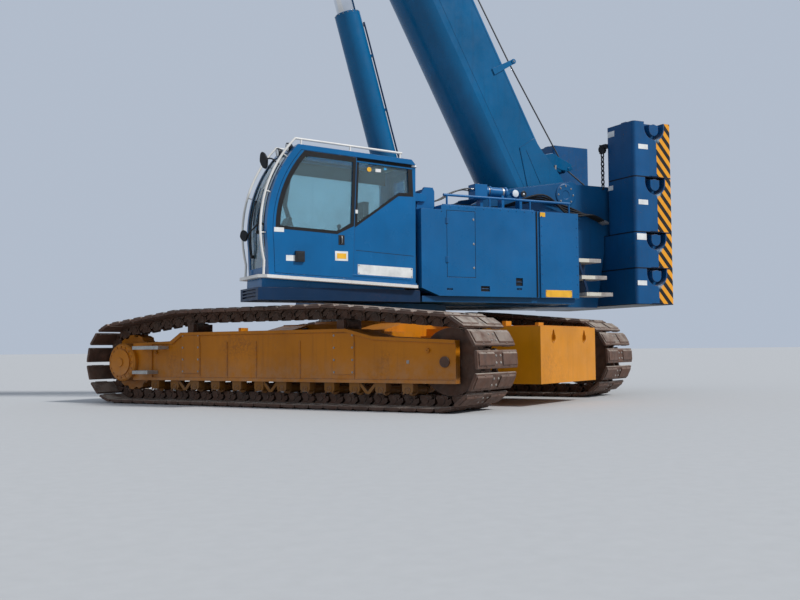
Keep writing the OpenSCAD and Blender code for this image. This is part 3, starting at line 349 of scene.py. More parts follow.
# Outlines of one shoe and its link: X runs along the belt, Z points outwards.
plate = [(-half, 0.066), (-half + 0.012, 0.060), (half - 0.012, 0.060), (half, 0.066), (half, 0.094),
         (half - 0.022, 0.101), (-half + 0.022, 0.101), (-half, 0.094)]
lip = [(-half, 0.052), (-half + 0.03, 0.052), (-half + 0.03, 0.062), (-half, 0.064)]
pad = [(-half + 0.024, 0.100), (half - 0.024, 0.100), (half - 0.046, PAD_TOP), (-half + 0.046, PAD_TOP)]
eye = [(0.046 * c, -0.012 + 0.046 * s) for c, s in round_points(16)]
rail = [(-0.075, -0.079), (0.075, -0.079), (0.092, -0.05), (0.06, 0.02), (half, 0.06), (-half, 0.06),
        (-0.06, 0.02), (-0.092, -0.05)]
web = [(half - 0.02, -0.03), (half + 0.026, -0.04), (half + 0.026, 0.015), (half - 0.03, 0.06),
       (half - 0.11, 0.06)]
bush = [(0.008, 0), (0.024, 0), (0.024, 0.032), (0.034, 0.034), (0.034, 0.218), (0.024, 0.22),
        (0.024, 0.252), (0.008, 0.252)]
for side, node in ((1, "track_near"), (-1, "track_far")):
    plates, links, studs = [], [], []
    for x, z, a in track_pins:
        place = at(x, side * TRACK_Y, z, base=UNDER) @ Matrix.Rotation(math.pi / 2 - a, 4, "Y")
        plates.append(slab(plate, -SHOE_REACH, SHOE_REACH, place))
        plates += [slab(lip, y - 0.12, y + 0.12, place) for y in (-0.36, 0.36)]
        for y0, y1 in ((-0.525, -0.115), (0.115, 0.525)):
            mid = (y0 + y1) / 2
            plates.append(slab(pad, y0, y1, place))
            plates.append(block(-half + 0.02, half - 0.02, mid - 0.012, mid + 0.012, 0.100, 0.112, place))
        for y in (-0.098, 0.098):
            for outline, reach in ((eye, 0.031), (rail, 0.017), (web, 0.024)):
                links.append(slab(outline, y - reach, y + reach, place))
        links.append(lathe(bush, at(0, -0.126, -0.012, -90, "X", place), 12))
        for y in (-0.062, 0.062):
            for s in (-0.045, 0.045):
                studs += bolt(spot(place, s, y, 0.1012), heading(place, 0, 0, 1), 0.013, 0.011)
    made("shoes_" + node, plates, shoe_iron, "undercarriage", bevel=0.004, replace=(node,))
    made("links_" + node, links, chain_iron, "undercarriage", replace=(node,))
    made("shoe_bolts_" + node, studs, worn_steel, "undercarriage", replace=(node,))


# Side frames and car body: flame-cut plates welded into boxes and brush painted; mud and
# rust creep up from the ground. Covers are held by a row of screws along each edge.
DUST = (0.36, 0.31, 0.24)


def painted(name, colour, gloss=0.36, wear=0.5, rust=0.3, dust=0.35, streaks=0.25, low_dirt=None):
    """Sprayed two-coat paint on steel: cloudy tone, worn and rusty edges, dust where it
    can lie, and streaks where rain has run down. low_dirt is mud: from, up to, how much."""
    s = Shader(name)
    tone = s.mix(s.cloud(1.3, 5.0, 0.3, 0.7), shade(colour, 0.86), shade(colour, 1.12))
    runs = s.cloud(3.0, 6.0, 0.52, 0.75, 0.0, streaks, 0.6, s.stretch(5.0, 5.0, 0.35))
    tone = s.mix(runs, tone, [c * 0.55 + 0.006 for c in colour])
    specks = s.times(s.cloud(38.0, 5.0, 0.62, 0.66, 0.0, 0.8 * wear, 0.7), s.cloud(2.3, 3.0, 0.5, 0.62))
    edge = s.times(s.edges(0.012), s.cloud(17.0, 5.0, 0.5 - 0.12 * wear, 0.6, 0.0, wear, 0.7))
    bare = s.most(specks, edge)
    tone = s.mix(bare, tone, [0.5 * c + 0.5 * r for c, r in zip((0.16, 0.15, 0.15), RUST)])
    patches = s.times(s.cloud(0.9, 6.0, 0.56, 0.72, 0.0, rust, 0.65),
                      s.cloud(24.0, 4.0, 0.42, 0.6, roughness=0.7))
    tone = s.mix(patches, tone, RUST)
    lying = s.times(s.span(s.axis(s.normal, "Z"), 0.35, 0.95),
                    s.cloud(4.0, 6.0, 0.3, 0.7, 0.4 * dust, dust * 1.6, 0.6))
    veil = s.most(lying, s.cloud(1.1, 5.0, 0.45, 0.8, 0.0, 0.2 * dust))
    if low_dirt:
        low, high, amount = low_dirt
        mud = s.times(s.span(s.axis(s.place, "Z"), high, low, 0.0, amount),
                      s.cloud(7.0, 6.0, 0.3, 0.62, roughness=0.65))
        veil = s.most(veil, mud)
    tone = s.mix(veil, tone, DUST)
    rough = s.most(s.cloud(5.0, 4.0, 0.3, 0.7, gloss - 0.06, gloss + 0.1),
                   s.most(s.times(veil, 0.95), s.times(bare, 0.7)))
    peel = s.calc("ADD", s.times(s.noise(150.0, 2.0), 0.35),
                  s.calc("SUBTRACT", s.times(s.noise(2.2, 3.0), 0.9), bare))
    s.shader.inputs["Specular IOR Level"].default_value = 0.25
    return s.finish(tone, rough, peel, 0.16, 0.002)


def simple(name, colour, rough=0.5, metal=0.0, grain=40.0, bump=0.12, coat=0.0):
    """A plain finish with a little cloud in its tone and its gloss."""
    s = Shader(name)
    tone = s.mix(s.cloud(grain * 0.2, 4.0, 0.3, 0.7), shade(colour, 0.8), shade(colour, 1.15))
    tone = s.mix(s.cloud(2.0, 5.0, 0.5, 0.8, 0.0, 0.25), tone,
                 [0.92 * c + 0.08 * d for c, d in zip(colour, DUST)])
    s.shader.inputs["Metallic"].default_value = metal
    s.shader.inputs["Coat Weight"].default_value = coat
    if max(colour) < 0.04:
        s.shader.inputs["Specular IOR Level"].default_value = 0.2
    gloss = s.cloud(grain * 0.5, 4.0, 0.3, 0.7, rough * 0.8, min(1.0, rough * 1.25))
    return s.finish(tone, gloss, s.noise(grain, 4.0), bump, 0.001, 0.0015)


def dress(material, *names):
    """Gives CAD nodes their finish."""
    for name in names:
        nodes[name].data.materials.clear()
        nodes[name].data.materials.append(material)


def pipe(points, radius, sides):
    """A round bar or hose bent along points."""
    points = [Vector(p) for p in points]
    v, f, side = [], [], None
    for i, p in enumerate(points):
        d = (points[min(i + 1, len(points) - 1)] - points[max(i - 1, 0)]).normalized()
        if side is None:
            side = d.orthogonal().normalized()
        side = (side - d * side.dot(d)).normalized()
        up = d.cross(side)
        v += [p + (side * c + up * s) * radius for c, s in round_points(sides)]
    for i in range(len(points) - 1):
        for k in range(sides):
            j = (k + 1) % sides
            f.append((i * sides + k, i * sides + j, (i + 1) * sides + j, (i + 1) * sides + k))
    last = (len(points) - 1) * sides
    f += [tuple(reversed(range(sides))), tuple(last + k for k in range(sides))]
    return v, f


yellow = painted("paint_yellow", (0.49, 0.160, 0.001), gloss=0.42, wear=0.8, rust=0.6, dust=0.10,
                 streaks=0.4, low_dirt=(0.3, 0.75, 0.35))
bolt_steel = simple("bolt_steel", (0.34, 0.33, 0.32), rough=0.38, metal=0.85, grain=80.0)
dress(yellow, "side_frame_near", "side_frame_far", "car_body", "track_drives")
dress(chain_iron, "idler_wheels", "carrier_rollers")
FRAME_WIDTH = 0.6
FRAME_FACE = TRACK_Y + FRAME_WIDTH / 2
# The two covers on each outer face: from, up to, bottom and top.
COVERS = ((1.69, 2.06, 0.47, 1.075), (-1.18, -0.82, 0.47, 1.035))
UPRIGHT_SEAMS, LONG_SEAMS = (-1.185, -0.25, 0.56, 1.13, 1.68), (0.408, 1.047)
PLUGS, PLUG_Z = (-2.35, 2.62), 0.79
plug = [(0.004, -0.02), (0.03, -0.02), (0.03, 0.006), (0.01, 0.008), (0.01, 0.0), (0.004, 0.0)]
screws, welds = [], []
for side in (-1, 1):
    face = side * FRAME_FACE
    seam = face - side * 0.021
    outwards = heading(UNDER, 0, side, 0)
    for u0, u1, z0, z1 in COVERS:
        for k in range(4):
            for u in (u0 + 0.025, u1 - 0.025):
                z = z0 + 0.03 + (z1 - z0 - 0.06) * k / 3
                screws += bolt(spot(UNDER, u, face - side * 0.0095, z), outwards, 0.011, 0.009)
    for u in UPRIGHT_SEAMS:
        for d in (-0.004, 0.020):
            welds.append(pipe([spot(UNDER, u + d, seam, z / 20) for z in range(9, 19)], 0.006, 6))
    for z in LONG_SEAMS:
        welds.append(pipe([spot(UNDER, u / 5, seam, z) for u in range(-4, 10)], 0.007, 6))
    # Grease plugs in the webs beside the drive and the idler.
    for u in PLUGS:
        welds.append(lathe(plug, at(u, face - side * 0.002, PLUG_Z, -90 * side, "X", UNDER), 12))
made("frame_screws", screws, bolt_steel, "undercarriage")
made("frame_welds", welds, yellow, "undercarriage", smooth=True)

# Track tensioners: a turned adjusting screw with its collar lies along both sides of each
# idler fork, bare steel that pushes the idler out.
screw = [(0.01, 0.0), (0.034, 0.0), (0.034, 0.30), (0.045, 0.30), (0.045, 0.34), (0.01, 0.34)]
parts = [lathe(screw, at(-2.36, side * TRACK_Y + v, 0.64, 90, "Y", UNDER), 16)
         for side in (-1, 1) for v in (-0.24, 0.24)]
made("track_tensioners", parts, worn_steel, "undercarriage", smooth=True)

# Roller ends: a pressed ring and plug close each bottom roller's shaft, and two screws hold
# them. Rollers and caps are painted once and soon wear back to rust.
ROLLERS, ROLLER_X, ROLLER_Z, ROLLER_PITCH, SHAFT_END = 12, -2.03, 0.267, 0.425, 0.2795
roller_iron = painted("paint_rollers", (0.24, 0.095, 0.012), gloss=0.55, wear=1.0, rust=1.0, dust=0.7,
                      streaks=0.5)
dress(roller_iron, "track_rollers")
cap = [(0.005, 0), (0.046, 0), (0.046, 0.006), (0.036, 0.008), (0.034, 0.003), (0.014, 0.003),
       (0.012, 0.009), (0.005, 0.009)]
parts = []
for side in (-1, 1):
    for k in range(ROLLERS):
        for end in (-1, 1):
            place = at(ROLLER_X + ROLLER_PITCH * k, side * TRACK_Y + end * SHAFT_END, ROLLER_Z, -90 * end,
                       base=UNDER)
            parts.append(lathe(cap, place, 16))
            for q in (-0.062, 0.062):
                parts += bolt(spot(place, q, 0.045, 0), heading(place, 0, 0, 1), 0.011, 0.010)
made("roller_ends", parts, roller_iron, "undercarriage")

# Car-body ballast: two cast blocks sprayed in a fresher yellow. A bar bent to a U is welded
# as a rim round each of the two sling holes in their outer faces.
ballast_yellow = painted("paint_ballast_yellow", (0.57, 0.21, 0.002), gloss=0.38, wear=0.7, rust=0.3,
                         dust=0.10, streaks=0.3)
dress(ballast_yellow, "carbody_ballast")
BALLAST_FACE, EYE_Y, EYE_Z, EYE_R = 3.2595, 0.56, 0.95, 0.072
parts = []
for end in (-1, 1):
    for v in (-EYE_Y, EYE_Y):
        arc = [(v + EYE_R * math.cos(math.radians(a)), EYE_Z + EYE_R * math.sin(math.radians(a)))
               for a in range(200, 341, 14)]
        rim = [(v - 0.064, EYE_Z + 0.04)] + arc + [(v + 0.064, EYE_Z + 0.04)]
        parts.append(pipe([spot(UNDER, end * BALLAST_FACE, y, z) for y, z in rim], 0.0065, 8))
made("ballast_eye_rims", parts, ballast_yellow, "undercarriage", smooth=True)

# Steps at the drive end: pressed tread plate, bare galvanised steel with staggered rows of
# raised drain holes that give the boot a hold. Each tread has its two ends and its top.
TRACK_TREADS = ((2.33, 2.90, 0.892), (2.56, 2.90, 0.512))
STUD_PITCH, STUD_ROW = 0.045, 0.042
tread_metal = simple("tread_metal", (0.42, 0.42, 0.40), rough=0.45, metal=0.55, grain=60.0)
dress(tread_metal, "track_steps")
stud = [(0.007, 0.0), (0.014, 0.0), (0.0095, 0.005), (0.007, 0.005), (0.006, 0.001)]
parts = []
for side in (-1, 1):
    for u0, u1, z in TRACK_TREADS:
        for i in range(int((u1 - u0) / STUD_PITCH) - 1):
            for j in range(4):
                y = side * (2.535 + STUD_ROW * j + STUD_ROW / 2 * (i % 2))
                parts.append(lathe(stud, at(u0 + STUD_PITCH * (i + 1), y, z - 0.001, base=UNDER), 8))
made("step_studs", parts, tread_metal, "undercarriage")


# Slew ring: a forged ball-bearing ring, oiled and dark, bolted down all round, with a rubber
# lip seal in its gap.
def bolt_ring(place, radius, height, count, direction, r, h, start=0.0):
    """Bolts on an even circle of a turned part."""
    heads = []
    for k in range(count):
        a = start + 2 * math.pi * k / count
        heads += bolt(spot(place, radius * math.cos(a), radius * math.sin(a), height), direction, r, h)
    return heads


ring_steel = iron("ring_steel", (0.16, 0.14, 0.12), rust_amount=0.25, dust=0.2, rough=0.45, bump=0.2)
rubber = simple("black_rubber", (0.012, 0.012, 0.013), rough=0.62, grain=90.0)
dress(ring_steel, "slew_ring")
RING_BOLTS, BOLTS_R, SEAL_R, SEAL_Z = 48, 1.085, 1.052, 1.34
heads = bolt_ring(at(), BOLTS_R, 1.2505, RING_BOLTS, (0, 0, 1), 0.016, 0.022)
seal = [(SEAL_R * c, SEAL_R * s, SEAL_Z) for c, s in round_points(72) + [(1.0, 0.0)]]
made("ring_bolts", heads, bolt_steel, "undercarriage")
made("ring_seal", [pipe(seal, 0.008, 8)], rubber, "undercarriage", smooth=True)


# Drive hoses: two black rubber hoses run along the car body's beam to each track drive, each
# held by a turned steel clip.
def curve(points, steps):
    """A smooth line through points, for hoses and bent bars."""
    p = [Vector(q) for q in points]
    p = [2 * p[0] - p[1]] + p + [2 * p[-1] - p[-2]]
    out = []
    for i in range(1, len(p) - 2):
        for k in range(steps):
            t = k / steps
            out.append(0.5 * ((2 * p[i]) + (p[i + 1] - p[i - 1]) * t
                              + (2 * p[i - 1] - 5 * p[i] + 4 * p[i + 1] - p[i + 2]) * t * t
                              + (3 * p[i] - p[i - 1] - 3 * p[i + 1] + p[i + 2]) * t ** 3))
    return out + [p[-2]]


parts, clips = [], []
for side in (-1, 1):
    for lift in (0.0, 0.05):
        points = [(0.55, side * 1.30, 1.085 + lift), (1.2, side * 1.42, 1.02 + lift),
                  (1.7, side * 1.62, 0.93 + lift), (2.2, side * 1.83, 0.83 + lift),
                  (2.75, side * 1.86, 0.72 + lift)]
        parts.append(pipe([spot(UNDER, *p) for p in curve(points, 8)], 0.019, 10))
        place = facing(spot(UNDER, *points[3]), heading(UNDER, 0.9, side * 0.12, -0.2))
        clips.append(lathe(sleeve(0.02, 0.028, -0.016, 0.016), place, 12))
made("drive_hoses", parts, rubber, "undercarriage", smooth=True)
made("hose_clips", clips, bolt_steel, "undercarriage", smooth=True)


# Upper frame: thick plate box that carries the boom's foot and the winch, in the same blue made
# darker as painted shade, and oily. Bolted round caps close its pins on both sides.
frame_shade_blue = painted("paint_frame_blue_shaded", (0.002, 0.072, 0.19), gloss=0.36, wear=0.5, rust=0.12, dust=0.12,
                     streaks=0.4)
# The darkest blue is a dark navy made darker still as painted shade, for the cab's base, the step brackets
# and the cylinder's pipes.
shade_dark_blue = painted("paint_dark_blue", (0.001, 0.022, 0.066), gloss=0.38, wear=0.5, rust=0.15, dust=0.15,
                    streaks=0.3)
dress(frame_shade_blue, "upper_frame")
dress(shade_dark_blue, "cab_base")
BOOM_PIN, DRUM_PIN = (-3.2, 3.45), (-4.45, 3.26)
retainers, caps = [], []
for side in (-1, 1):
    for (x, z), r, y in ((BOOM_PIN, 0.20, 0.7005), (DRUM_PIN, 0.13, 0.7105)):
        place = at(x, side * y, z, -90 * side)
        caps.append(lathe([(0.01, 0.0), (r, 0.0), (r, 0.014), (r * 0.9, 0.020), (r * 0.4, 0.020),
                           (r * 0.34, 0.012), (0.01, 0.012)], place, 36))
        retainers += bolt_ring(place, r * 0.78, 0.019, 8, (0, side, 0), 0.013, 0.012)
made("frame_pin_caps", caps, frame_shade_blue, "upperworks", bevel=0.002)
made("frame_pin_bolts", retainers, bolt_steel, "upperworks")

# Deck hoses: four black rubber hoses that feed boom and winch, laid side by side over the
# left housing, each end in a swaged steel nut.
HOSES, HOSE_Y, HOSE_PITCH = 4, 0.738, 0.045
nut = [(0.01, -0.01), (0.024, -0.01), (0.024, 0.06), (0.019, 0.065), (0.019, 0.10), (0.01, 0.10)]
parts, nuts = [], []
for n in range(HOSES):
    y = HOSE_Y + HOSE_PITCH * n
    points = curve([(-0.42, y, 3.02), (-0.9, y, 3.06 + 0.02 * n), (-1.7, y, 3.13),
                    (-2.6, y, 3.30 + 0.03 * n), (-3.15, y - 0.015, 3.26 - 0.06 * n), (-3.65, y, 3.10),
                    (-3.98, y, 2.98)], 8)
    parts.append(pipe(points, 0.017, 10))
    for p, q in ((points[0], points[1]), (points[-1], points[-2])):
        nuts.append(lathe(nut, facing(p, q - p), 12))
made("deck_hoses", parts, rubber, "upperworks", smooth=True)
made("deck_hose_nuts", nuts, bolt_steel, "upperworks")

# Housings: sheet-steel panels on a frame, sprayed and polished by weather. Hatches hang on
# pressed hinges and close with slotted locks; the panels are riveted along their edges.
blue = painted("paint_blue", (0.004, 0.105, 0.275), gloss=0.3, wear=0.3, rust=0.06, dust=0.08, streaks=0.18)
engine_iron = iron("engine_iron", (0.13, 0.13, 0.135), rust_amount=0.2, dust=0.3)
dress(blue, "house_left", "house_right", "cab_bracket", "deck_rails", "deck_cylinder")
dress(engine_iron, "engine_block")
HOUSE_Y = 1.5
HATCH_X0, HATCH_X1, HATCH_Z0, HATCH_Z1 = -0.869, -0.355, 1.9, 2.925
HINGES_Z, LOCKS_Z, RIVET_COLUMNS, RIVET_PITCH = (2.12, 2.72), (2.05, 2.42, 2.80), (-2.82, -2.12), 0.155
# Pocket grips and drains, each from, up to, bottom and top.
POCKETS = ((-0.454, -0.35, 1.702, 1.73), (-1.121, -0.957, 1.69, 1.774), (-1.741, -1.61, 1.79, 1.914),
           (-1.72, -1.626, 1.724, 1.754))
hinges, locks, rivets, seals = [], [], [], []
for side in (-1, 1):
    face = side * HOUSE_Y
    for z in HINGES_Z:
        hinges.append(block(-0.385, -0.335, face, face + side * 0.008, z, z + 0.09))
        hinges.append(lathe(sleeve(0.002, 0.009, 0, 0.09), at(-0.358, face + side * 0.008, z), 10))
    for z in LOCKS_Z:
        place = at(-0.835, face - side * 0.001, z, -90 * side)
        locks.append(lathe(chamfered(0.003, 0.017, 0.004, 0.014, 0.006), place, 16))
        locks.append(block(-0.009, 0.009, -0.0025, 0.0025, 0.005, 0.008, place))
    for x in RIVET_COLUMNS:
        for k in range(9):
            rivets += bolt((x, face, 1.68 + RIVET_PITCH * k), (0, side, 0), 0.008, 0.005)
    for k in range(12):
        z = 2.972 if k < 11 else 2.90
        rivets += bolt((-1.94 + 0.152 * k, face - side * 0.002, z), (0, side, 0), 0.006, 0.004)
    # Rubber strips in the panel's seam and round the hatch.
    seals.append(block(-2.045, -2.025, face - side * 0.022, face - side * 0.012, 1.62, 2.995))
    for x0, x1, z0, z1 in ((HATCH_X0, -0.862, HATCH_Z0, HATCH_Z1), (-0.362, HATCH_X1, HATCH_Z0, HATCH_Z1),
                           (HATCH_X0, HATCH_X1, 1.898, 1.905), (HATCH_X0, HATCH_X1, 2.92, 2.927)):
        seals.append(block(x0, x1, face - side * 0.0098, face - side * 0.005, z0, z1))
    for x0, x1, z0, z1 in POCKETS:
        deep, out, mid = face - side * 0.019, face - side * 0.006, (z0 + z1) / 2
        seals.append(block(x0 + 0.004, x1 - 0.004, face - side * 0.0255, face - side * 0.018, z0 + 0.003,
                           z1 - 0.003))
        hinges.append(pipe([(x0 + 0.012, deep, mid), (x0 + 0.016, out, mid), (x1 - 0.016, out, mid),
                            (x1 - 0.012, deep, mid)], 0.004, 8))
made("house_hinges", hinges, blue, "upperworks", bevel=0.0012)
made("house_locks", locks, bolt_steel, "upperworks")
made("house_rivets", rivets, blue, "upperworks")
made("house_seals", seals, rubber, "upperworks")

# Blank plates on the left housing: an amber reflector by the seam and a bare yellow plate low
# on the rear panel, pop-riveted. Nothing is printed on either.
label_yellow = simple("label_yellow", (0.80, 0.42, 0.02), rough=0.4, grain=30.0, bump=0.02)
made("reflector", [block(-2.19, -2.09, HOUSE_Y, HOUSE_Y + 0.004, 2.915, 2.985)], label_yellow,
     "upperworks", bevel=0.0015)
made("yellow_plate", [block(-2.70, -2.18, HOUSE_Y, HOUSE_Y + 0.003, 1.620, 1.735)], label_yellow,
     "upperworks", bevel=0.001)
rivets = [part for x in (-2.685, -2.195) for z in (1.634, 1.72)
          for part in bolt((x, 1.5025, z), (0, 1, 0), 0.005, 0.004)]
made("plate_rivets", rivets, bolt_steel, "upperworks")

# Deck furniture: two pale lamp glasses behind the tank, one in a black ring; clamp bands,
# filler cap and pipe unions on the tank, and two plastic tubes. All is bought in and screwed on.
plastic = simple("black_plastic", (0.02, 0.021, 0.023), rough=0.42, grain=120.0)
lens_clear = simple("lens_clear", (0.72, 0.74, 0.74), rough=0.12, grain=30.0, coat=1.0)
LAMP_X, LAMP_Z = -2.072, 3.34
glass = [lathe([(0.002, 0.0), (r, 0.0), (r * 0.96, 0.006), (r * 0.6, 0.013), (0.002, 0.016)],
               at(x, 1.074, LAMP_Z, -90), 28) for x, r in ((-1.914, 0.060), (LAMP_X, 0.022))]
parts = [lathe([(0.024, 0.0), (0.052, 0.0), (0.054, 0.012), (0.046, 0.016), (0.026, 0.012)],
               at(LAMP_X, 1.072, LAMP_Z, -90), 28)]
bands = [lathe(sleeve(0.079, 0.083, 0.0, 0.03), at(x, 1.0, 3.35, 90, "Y"), 36) for x in (-1.70, -1.44)]
bands.append(lathe(chamfered(0.004, 0.032, 0.018, 0.024, 0.024), at(-1.235, 1.0, 3.444), 20))
for y in (0.93, 1.07):
    bands.append(lathe([(0.004, 0), (0.018, 0), (0.018, 0.03), (0.012, 0.03), (0.012, 0.06), (0.004, 0.06)],
                       at(-1.121, y, 3.36, 90, "Y"), 12))
    parts.append(pipe(curve([(-1.08, y, 3.36), (-0.95, y, 3.355), (-0.72, y + 0.02, 3.28),
                             (-0.5, y + 0.05, 3.16), (-0.30, y + 0.05, 3.09)], 8), 0.011, 8))
made("lamp_glasses", glass, lens_clear, "upperworks", smooth=True)
made("lamp_rings_and_tubes", parts, plastic, "upperworks", smooth=True)
made("tank_bands", bands, bolt_steel, "upperworks", smooth=True)

# Rail feet: a turned flange under each post of the deck rails, screwed down by four small
# bolts and painted with the housing.
POSTS_X, POSTS_Y, DECK_Z = (-2.78, -2.0, -1.23, -0.45), 1.35, 3.0005
foot = [(0.0165, 0.0), (0.045, 0.0), (0.045, 0.008), (0.022, 0.010), (0.0165, 0.022)]
feet = []
for side in (-1, 1):
    for x in POSTS_X:
        place = at(x, side * POSTS_Y, DECK_Z)
        feet.append(lathe(foot, place, 20))
        feet += bolt_ring(place, 0.034, 0.007, 4, (0, 0, 1), 0.006, 0.005, math.pi / 4)
made("rail_feet", feet, blue, "upperworks")

# Side steps: folded sheet treads on dark brackets, off-white in front with a grey worn rear
# half, and raised grip studs punched through their tops.
STEP_GREY, STEP_Y0, GRIP_PITCH, GRIP_ROW = 0.24, 1.085, 0.04, 0.044
# Each tread has its two ends and its top. COAT is the paint's stand over the sheet.
TREADS = ((-3.309, -2.856, 2.27), (-3.427, -2.909, 1.992), (-3.547, -3.005, 1.715))
COAT = 0.0006
step_white = painted("paint_steps", (0.60, 0.57, 0.48), gloss=0.5, wear=1.0, rust=0.4, dust=0.7, streaks=0.5)
# The step brackets take the dark navy with its painted shade.
dress(shade_dark_blue, "side_steps")
white, grey, grips = [], [], []
for side in (-1, 1):
    for x0, x1, z in TREADS:
        z0, z1 = z - 0.06 - COAT, z + COAT
        white.append(block(x0 + STEP_GREY, x1 + COAT, side * STEP_Y0, side * 1.4971, z0, z1))
        grey.append(block(x0 - COAT, x0 + STEP_GREY, side * STEP_Y0, side * 1.4969, z0, z1))
        for i in range(int((x1 - x0) / GRIP_PITCH) - 1):
            for j in range(9):
                grips.append(lathe([(0.004, 0.0), (0.012, 0.0), (0.008, 0.004), (0.004, 0.004)],
                                   at(x0 + GRIP_PITCH * (i + 1), side * (1.11 + GRIP_ROW * j), z), 7))
made("step_covers", white, step_white, "upperworks", bevel=0.0004)
made("step_grips", grips, worn_steel, "upperworks")
made("step_grey_ends", grey, worn_steel, "upperworks")

# Counterweight: cast blocks in a sprayed blue, chipped where slings and neighbours rub, with
# orange and black warning stripes painted straight on the rear edge of both sides.
STRIPE_X, STRIPE_PITCH, STRIPE_SLOPE = -4.56, 0.215, 1.1
POCKET_X, POCKET_DROP, POCKET_R = -4.51, 0.085, 0.234
PALE_SPOT_X, PALE_SPOT_DROP = -4.585, 0.290
STACK_TOP = 4.68


def weight_paint(name, low, top):
    """Paint of one layer of blocks between two heights."""
    s = Shader(name)

    def distance_to(x, z):
        return s.calc("POWER", s.calc("ADD", s.calc("POWER", s.calc("ADD", along, -x), 2.0),
                                      s.calc("POWER", s.calc("SUBTRACT", high, z), 2.0)), 0.5)

    tone = s.mix(s.cloud(1.3, 5.0, 0.3, 0.7), (0.002, 0.058, 0.165), (0.004, 0.082, 0.225))
    along, across, high = (s.axis(s.place, k) for k in "XYZ")
    slope = s.calc("SUBTRACT", high, s.times(along, STRIPE_SLOPE))
    stripe = s.span(s.calc("FRACT", s.calc("DIVIDE", slope, STRIPE_PITCH)), 0.49, 0.51)
    ragged = s.calc("ADD", along, s.cloud(30.0, 2.0, 0.3, 0.7, -0.003, 0.003))
    rear = s.span(ragged, STRIPE_X + 0.003, STRIPE_X - 0.003)
    side = s.span(s.calc("ABSOLUTE", across), 1.4745, 1.4755)
    # Leave the sling pocket and its bollard blue.
    pocket_z = top - POCKET_DROP
    near = s.calc("MINIMUM", distance_to(POCKET_X, pocket_z),
                  s.calc("ADD", s.calc("ABSOLUTE", s.calc("ADD", along, -POCKET_X)),
                         s.span(high, pocket_z - 0.001, pocket_z, 5.0, 0.0)))
    free = s.times(s.span(near, POCKET_R - 0.002, POCKET_R + 0.002), s.span(high, low + 0.012, low + 0.016))
    mask = s.times(s.times(rear, side), free)
    tone = s.mix(mask, tone, s.mix(stripe, (0.80, 0.33, 0.018), (0.012, 0.012, 0.013)))
    chips = s.times(s.cloud(34.0, 5.0, 0.60, 0.64, 0.0, 0.85, 0.7), s.cloud(2.1, 4.0, 0.5, 0.6))
    edge = s.times(s.edges(0.014), s.cloud(15.0, 5.0, 0.42, 0.58, roughness=0.7))
    bare = s.most(chips, edge)
    tone = s.mix(bare, tone, (0.11, 0.065, 0.045))
    run = s.times(s.cloud(3.0, 6.0, 0.52, 0.72, 0.0, 0.4, 0.62, s.stretch(6.0, 6.0, 0.4)),
                  s.span(high, low, top, 0.5, 1.0))
    tone = s.mix(run, tone, (0.02, 0.045, 0.07))
    lying = s.times(s.span(s.axis(s.normal, "Z"), 0.3, 0.9), s.cloud(5.0, 6.0, 0.3, 0.65, 0.1, 0.6))
    tone = s.mix(lying, tone, DUST)
    # A pale spot on each side at the pocket's lower rim.
    pale = s.times(side, s.span(distance_to(PALE_SPOT_X, top - PALE_SPOT_DROP), 0.070, 0.035, 0.0, 0.85))
    tone = s.mix(s.times(pale, s.cloud(22.0, 4.0, 0.36, 0.52)), tone, (0.20, 0.30, 0.38))
    # Painted shade in the seams between the blocks.
    seam = s.span(high, low + 0.009, low + 0.013, 1.0, 0.0)
    if top < STACK_TOP:
        seam = s.most(seam, s.span(high, top - 0.013, top - 0.009))
    tone = s.mix(seam, tone, (0.004, 0.005, 0.009))
    height = s.calc("SUBTRACT", s.calc("ADD", s.times(s.noise(55.0, 4.0), 0.5), s.noise(3.0, 4.0)), bare)
    s.shader.inputs["Specular IOR Level"].default_value = 0.25
    return s.finish(tone, s.cloud(6.0, 4.0, 0.3, 0.7, 0.34, 0.5), height, 0.22, 0.003, 0.008)


for node, low, top in (("weight_slab_low", 1.53, 2.15), ("weight_slab_high", 2.15, 2.77),
                       ("weight_blocks_low", 2.77, 3.725), ("weight_blocks_high", 3.725, STACK_TOP)):
    dress(weight_paint("paint_" + node, low, top), node)

# Weight plates: blank white plates of thin sheet, stuck on the left side of each layer and on
# the front faces of the left block stack.
label_white = simple("label_white", (0.72, 0.72, 0.69), rough=0.4, grain=30.0, bump=0.02)
parts = [block(x0, x1, 1.4995, 1.5015, z0, z1)
         for x0, x1, z0, z1 in ((-4.37, -4.16, 4.20, 4.283), (-4.35, -4.14, 3.24, 3.325),
                                (-4.30, -4.09, 2.632, 2.74), (-4.288, -4.085, 1.855, 1.936))]
parts += [block(-4.0605, -4.0585, y0, y1, z0, z1)
          for y0, y1, z0, z1 in ((0.82, 1.0, 4.50, 4.60), (0.81, 0.94, 3.56, 3.64))]
made("weight_labels", parts, label_white, "upperworks", bevel=0.0006)

